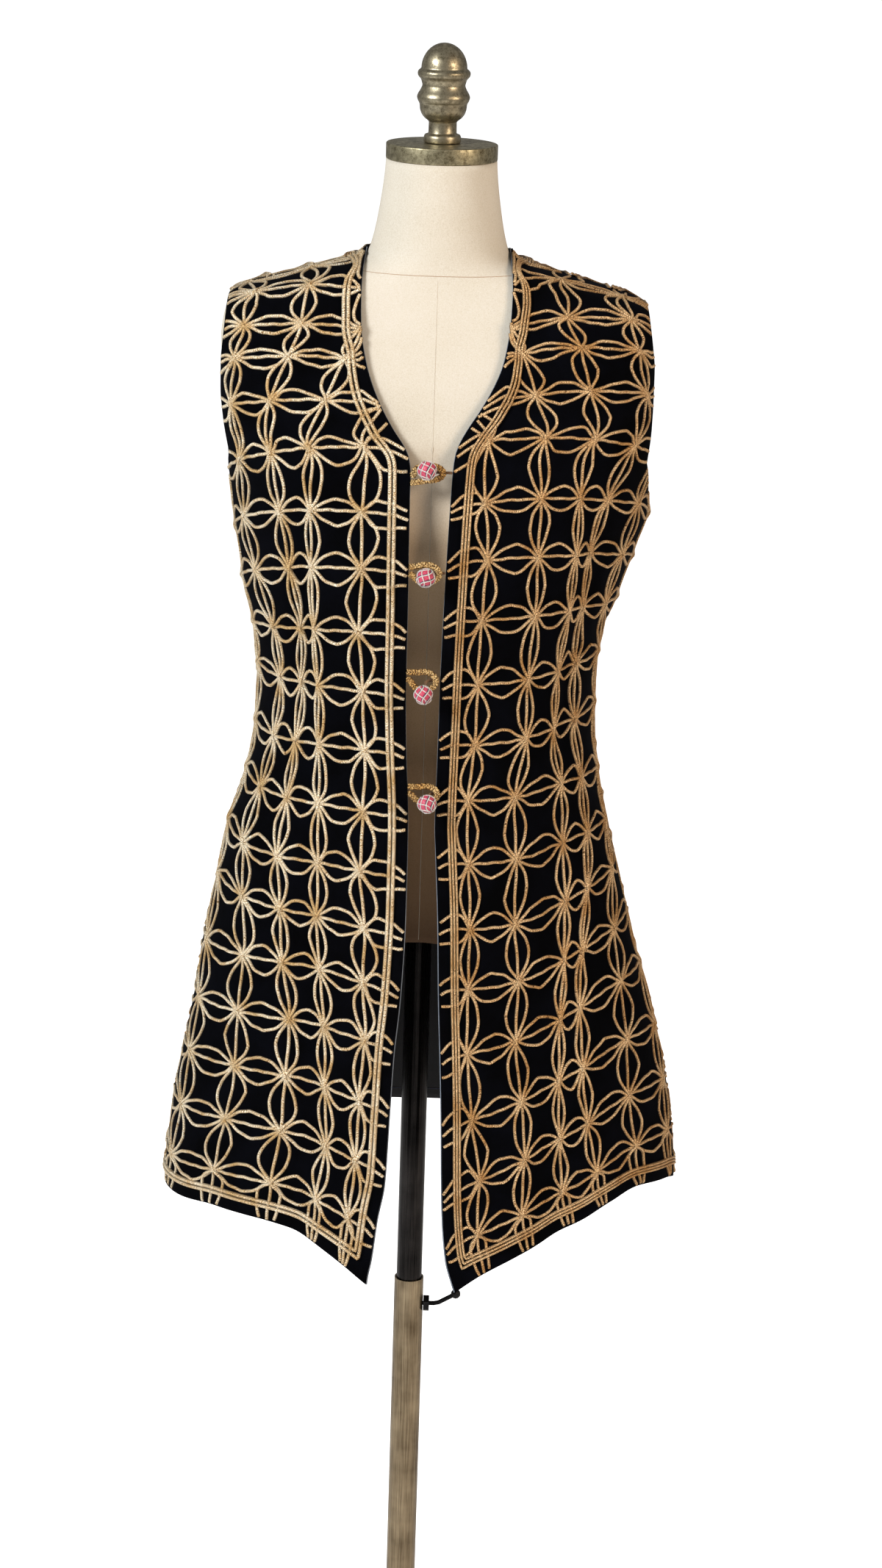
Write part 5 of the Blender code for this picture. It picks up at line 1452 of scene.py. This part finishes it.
def makeLoop(number, centre, row):
    # A plaited loop: two ends side by side at its root on the right front's edge, and a ring
    # round the ball between them.
    z, (rise, aside, above, wide, tall) = row[0], row[2:]
    edge = surfaceAt("right", z + rise * mm)
    root = edge + np.array([fastening["seat"], vest["velvetThick"] / 2, 0])
    middle = centre + np.array([aside, fastening["loopBehind"], above]) * mm
    turn = atan2((root[2] - middle[2]) / tall, (root[0] - middle[0]) / wide)
    opened = fastening["loopOpen"]
    ring = [middle + np.array([wide * cos(angle), 0, tall * sin(angle)]) * mm
            for angle in turn - opened
            - 2 * (pi - opened) * np.linspace(0, 1, fastening["loopSteps"])]
    up = np.array([0, 0, fastening["loopApart"]])
    out = np.array([fastening["straight"], 0, 0])
    path = [root + up, root + up + out] + ring + [root - up + out, root - up]
    path = softened(evenPath(path, fastening["loopStep"]), fastening["loopSoft"])
    mesh = tubeMesh(f"loop_{number}_plait", plaited(path, *fastening["loopPlait"]),
                    fastening["loopStrand"], fastening["strandSides"])
    addPiece(mesh, loopCord, "gold_braid", f"loop_{number}")


for number, row in enumerate(fastening["rows"], start=1):
    z, share, above = row[0], row[1], row[4]
    right, left = surfaceAt("right", z), surfaceAt("left", z)
    centre = right + (left - right) * share - np.array([0, fastening["proud"], 0])
    makeBall(number, centre)
    makeNet(number, centre)
    makeShank(number, centre, surfaceAt("left", z + above * mm))
    makeLoop(number, centre, row)
report("fastenings")


# A white room: the main light high at the front from the right front's side, a weak warm one
# from the other, and little light from anywhere else, so the opening falls into shade.
studio = {
    "floorGlow": 0.90, "world": 0.24, "floorRadius": 60.0, "floorCloud": 0.8,
    "lights": {     # place, aim, size, power, colour
        "key": ((-2.9, -2.4, 3.3), (0, 0, 1.1), (1.3, 1.3), 190, "#fbfdff"),
        "fill": ((2.9, -2.2, 2.6), (0, 0, 1.0), (1.3, 1.5), 85, "#ffe8cf")}}


def addFloor():
    # Matt white paper, which is seen brighter than it lights the stand.
    bm = bmesh.new()
    bmesh.ops.create_circle(bm, cap_ends=True, segments=96, radius=studio["floorRadius"])
    mesh = meshFrom(bm, "floor")
    item = addObject("floor", mesh)
    material, tree, shader = newMaterial("matt_paper_floor", {
        "Roughness": 0.95, "Specular IOR Level": 0.1, "Emission Color": "#ffffff"})
    coords = addNode(tree, "TexCoord", {}, "Object")
    cloudy = addNode(tree, "TexNoise", {"Vector": coords, "Scale": 1 / studio["floorCloud"]})
    seen = addNode(tree, "LightPath", {}, "Is Camera Ray")
    setInputs(tree, shader, {
        "Base Color": addNode(tree, "ValToRGB", {"Fac": cloudy},
                              stops=[(0.3, "#f4f4f4"), (0.7, "#fafafa")]),
        "Emission Strength": addNode(tree, "Math", {0: seen, 1: studio["floorGlow"]},
                                     operation="MULTIPLY")})
    mesh.materials.append(material)


def addLight(name, place, aim, size, power, colour):
    data = bpy.data.lights.new(name, "AREA")
    data.shape = "RECTANGLE"
    data.size, data.size_y = size
    data.energy = power
    data.color = hexColour(colour)[:3]
    item = addObject(name, data)
    item.location = place
    item.rotation_euler = (Vector(aim) - Vector(place)).to_track_quat("-Z", "Y").to_euler()


def addWorld():
    # White behind everything, but only a little light from it.
    world = bpy.data.worlds.new("studio")
    bpy.context.scene.world = world
    world.use_nodes = True
    tree = world.node_tree
    seen = addNode(tree, "LightPath", {}, "Is Camera Ray")
    setInputs(tree, tree.nodes["Background"], {
        "Color": "#ffffff",
        "Strength": addNode(tree, "Math", {0: seen, 1: 1.0 - studio["world"],
                                           2: studio["world"]}, operation="MULTIPLY_ADD")})


addFloor()
for name, light in studio["lights"].items():
    addLight(name, *light)
addWorld()
bpy.context.scene.view_settings.view_transform = "Standard"     # keeps whites and golds true

# The camera's lens is its focal length over the frame's height, both in the same small units.
view = {"sensor": 36.0, "focal": 5195, "frameTall": 2134, "tilt": radians(16),
        "roll": radians(1.75), "place": (0.0172, -3.6, 1.9956), "far": 200.0}


def addCamera():
    data = bpy.data.cameras.new("camera")
    data.sensor_fit = "VERTICAL"
    data.sensor_height = view["sensor"]
    data.lens = view["sensor"] * view["focal"] / view["frameTall"]
    data.clip_end = view["far"]
    camera = addObject("camera", data)
    tilt, roll = view["tilt"], view["roll"]
    forward = Vector((0, cos(tilt), -sin(tilt)))
    level, steep = Vector((1, 0, 0)), Vector((0, sin(tilt), cos(tilt)))
    right = level * cos(roll) + steep * sin(roll)
    up = steep * cos(roll) - level * sin(roll)
    matrix = camera.matrix_world.copy()
    for row, place in enumerate(view["place"]):
        matrix[row] = (right[row], up[row], -forward[row], place)
    camera.matrix_world = matrix
    bpy.context.scene.camera = camera


addCamera()
report("studio")
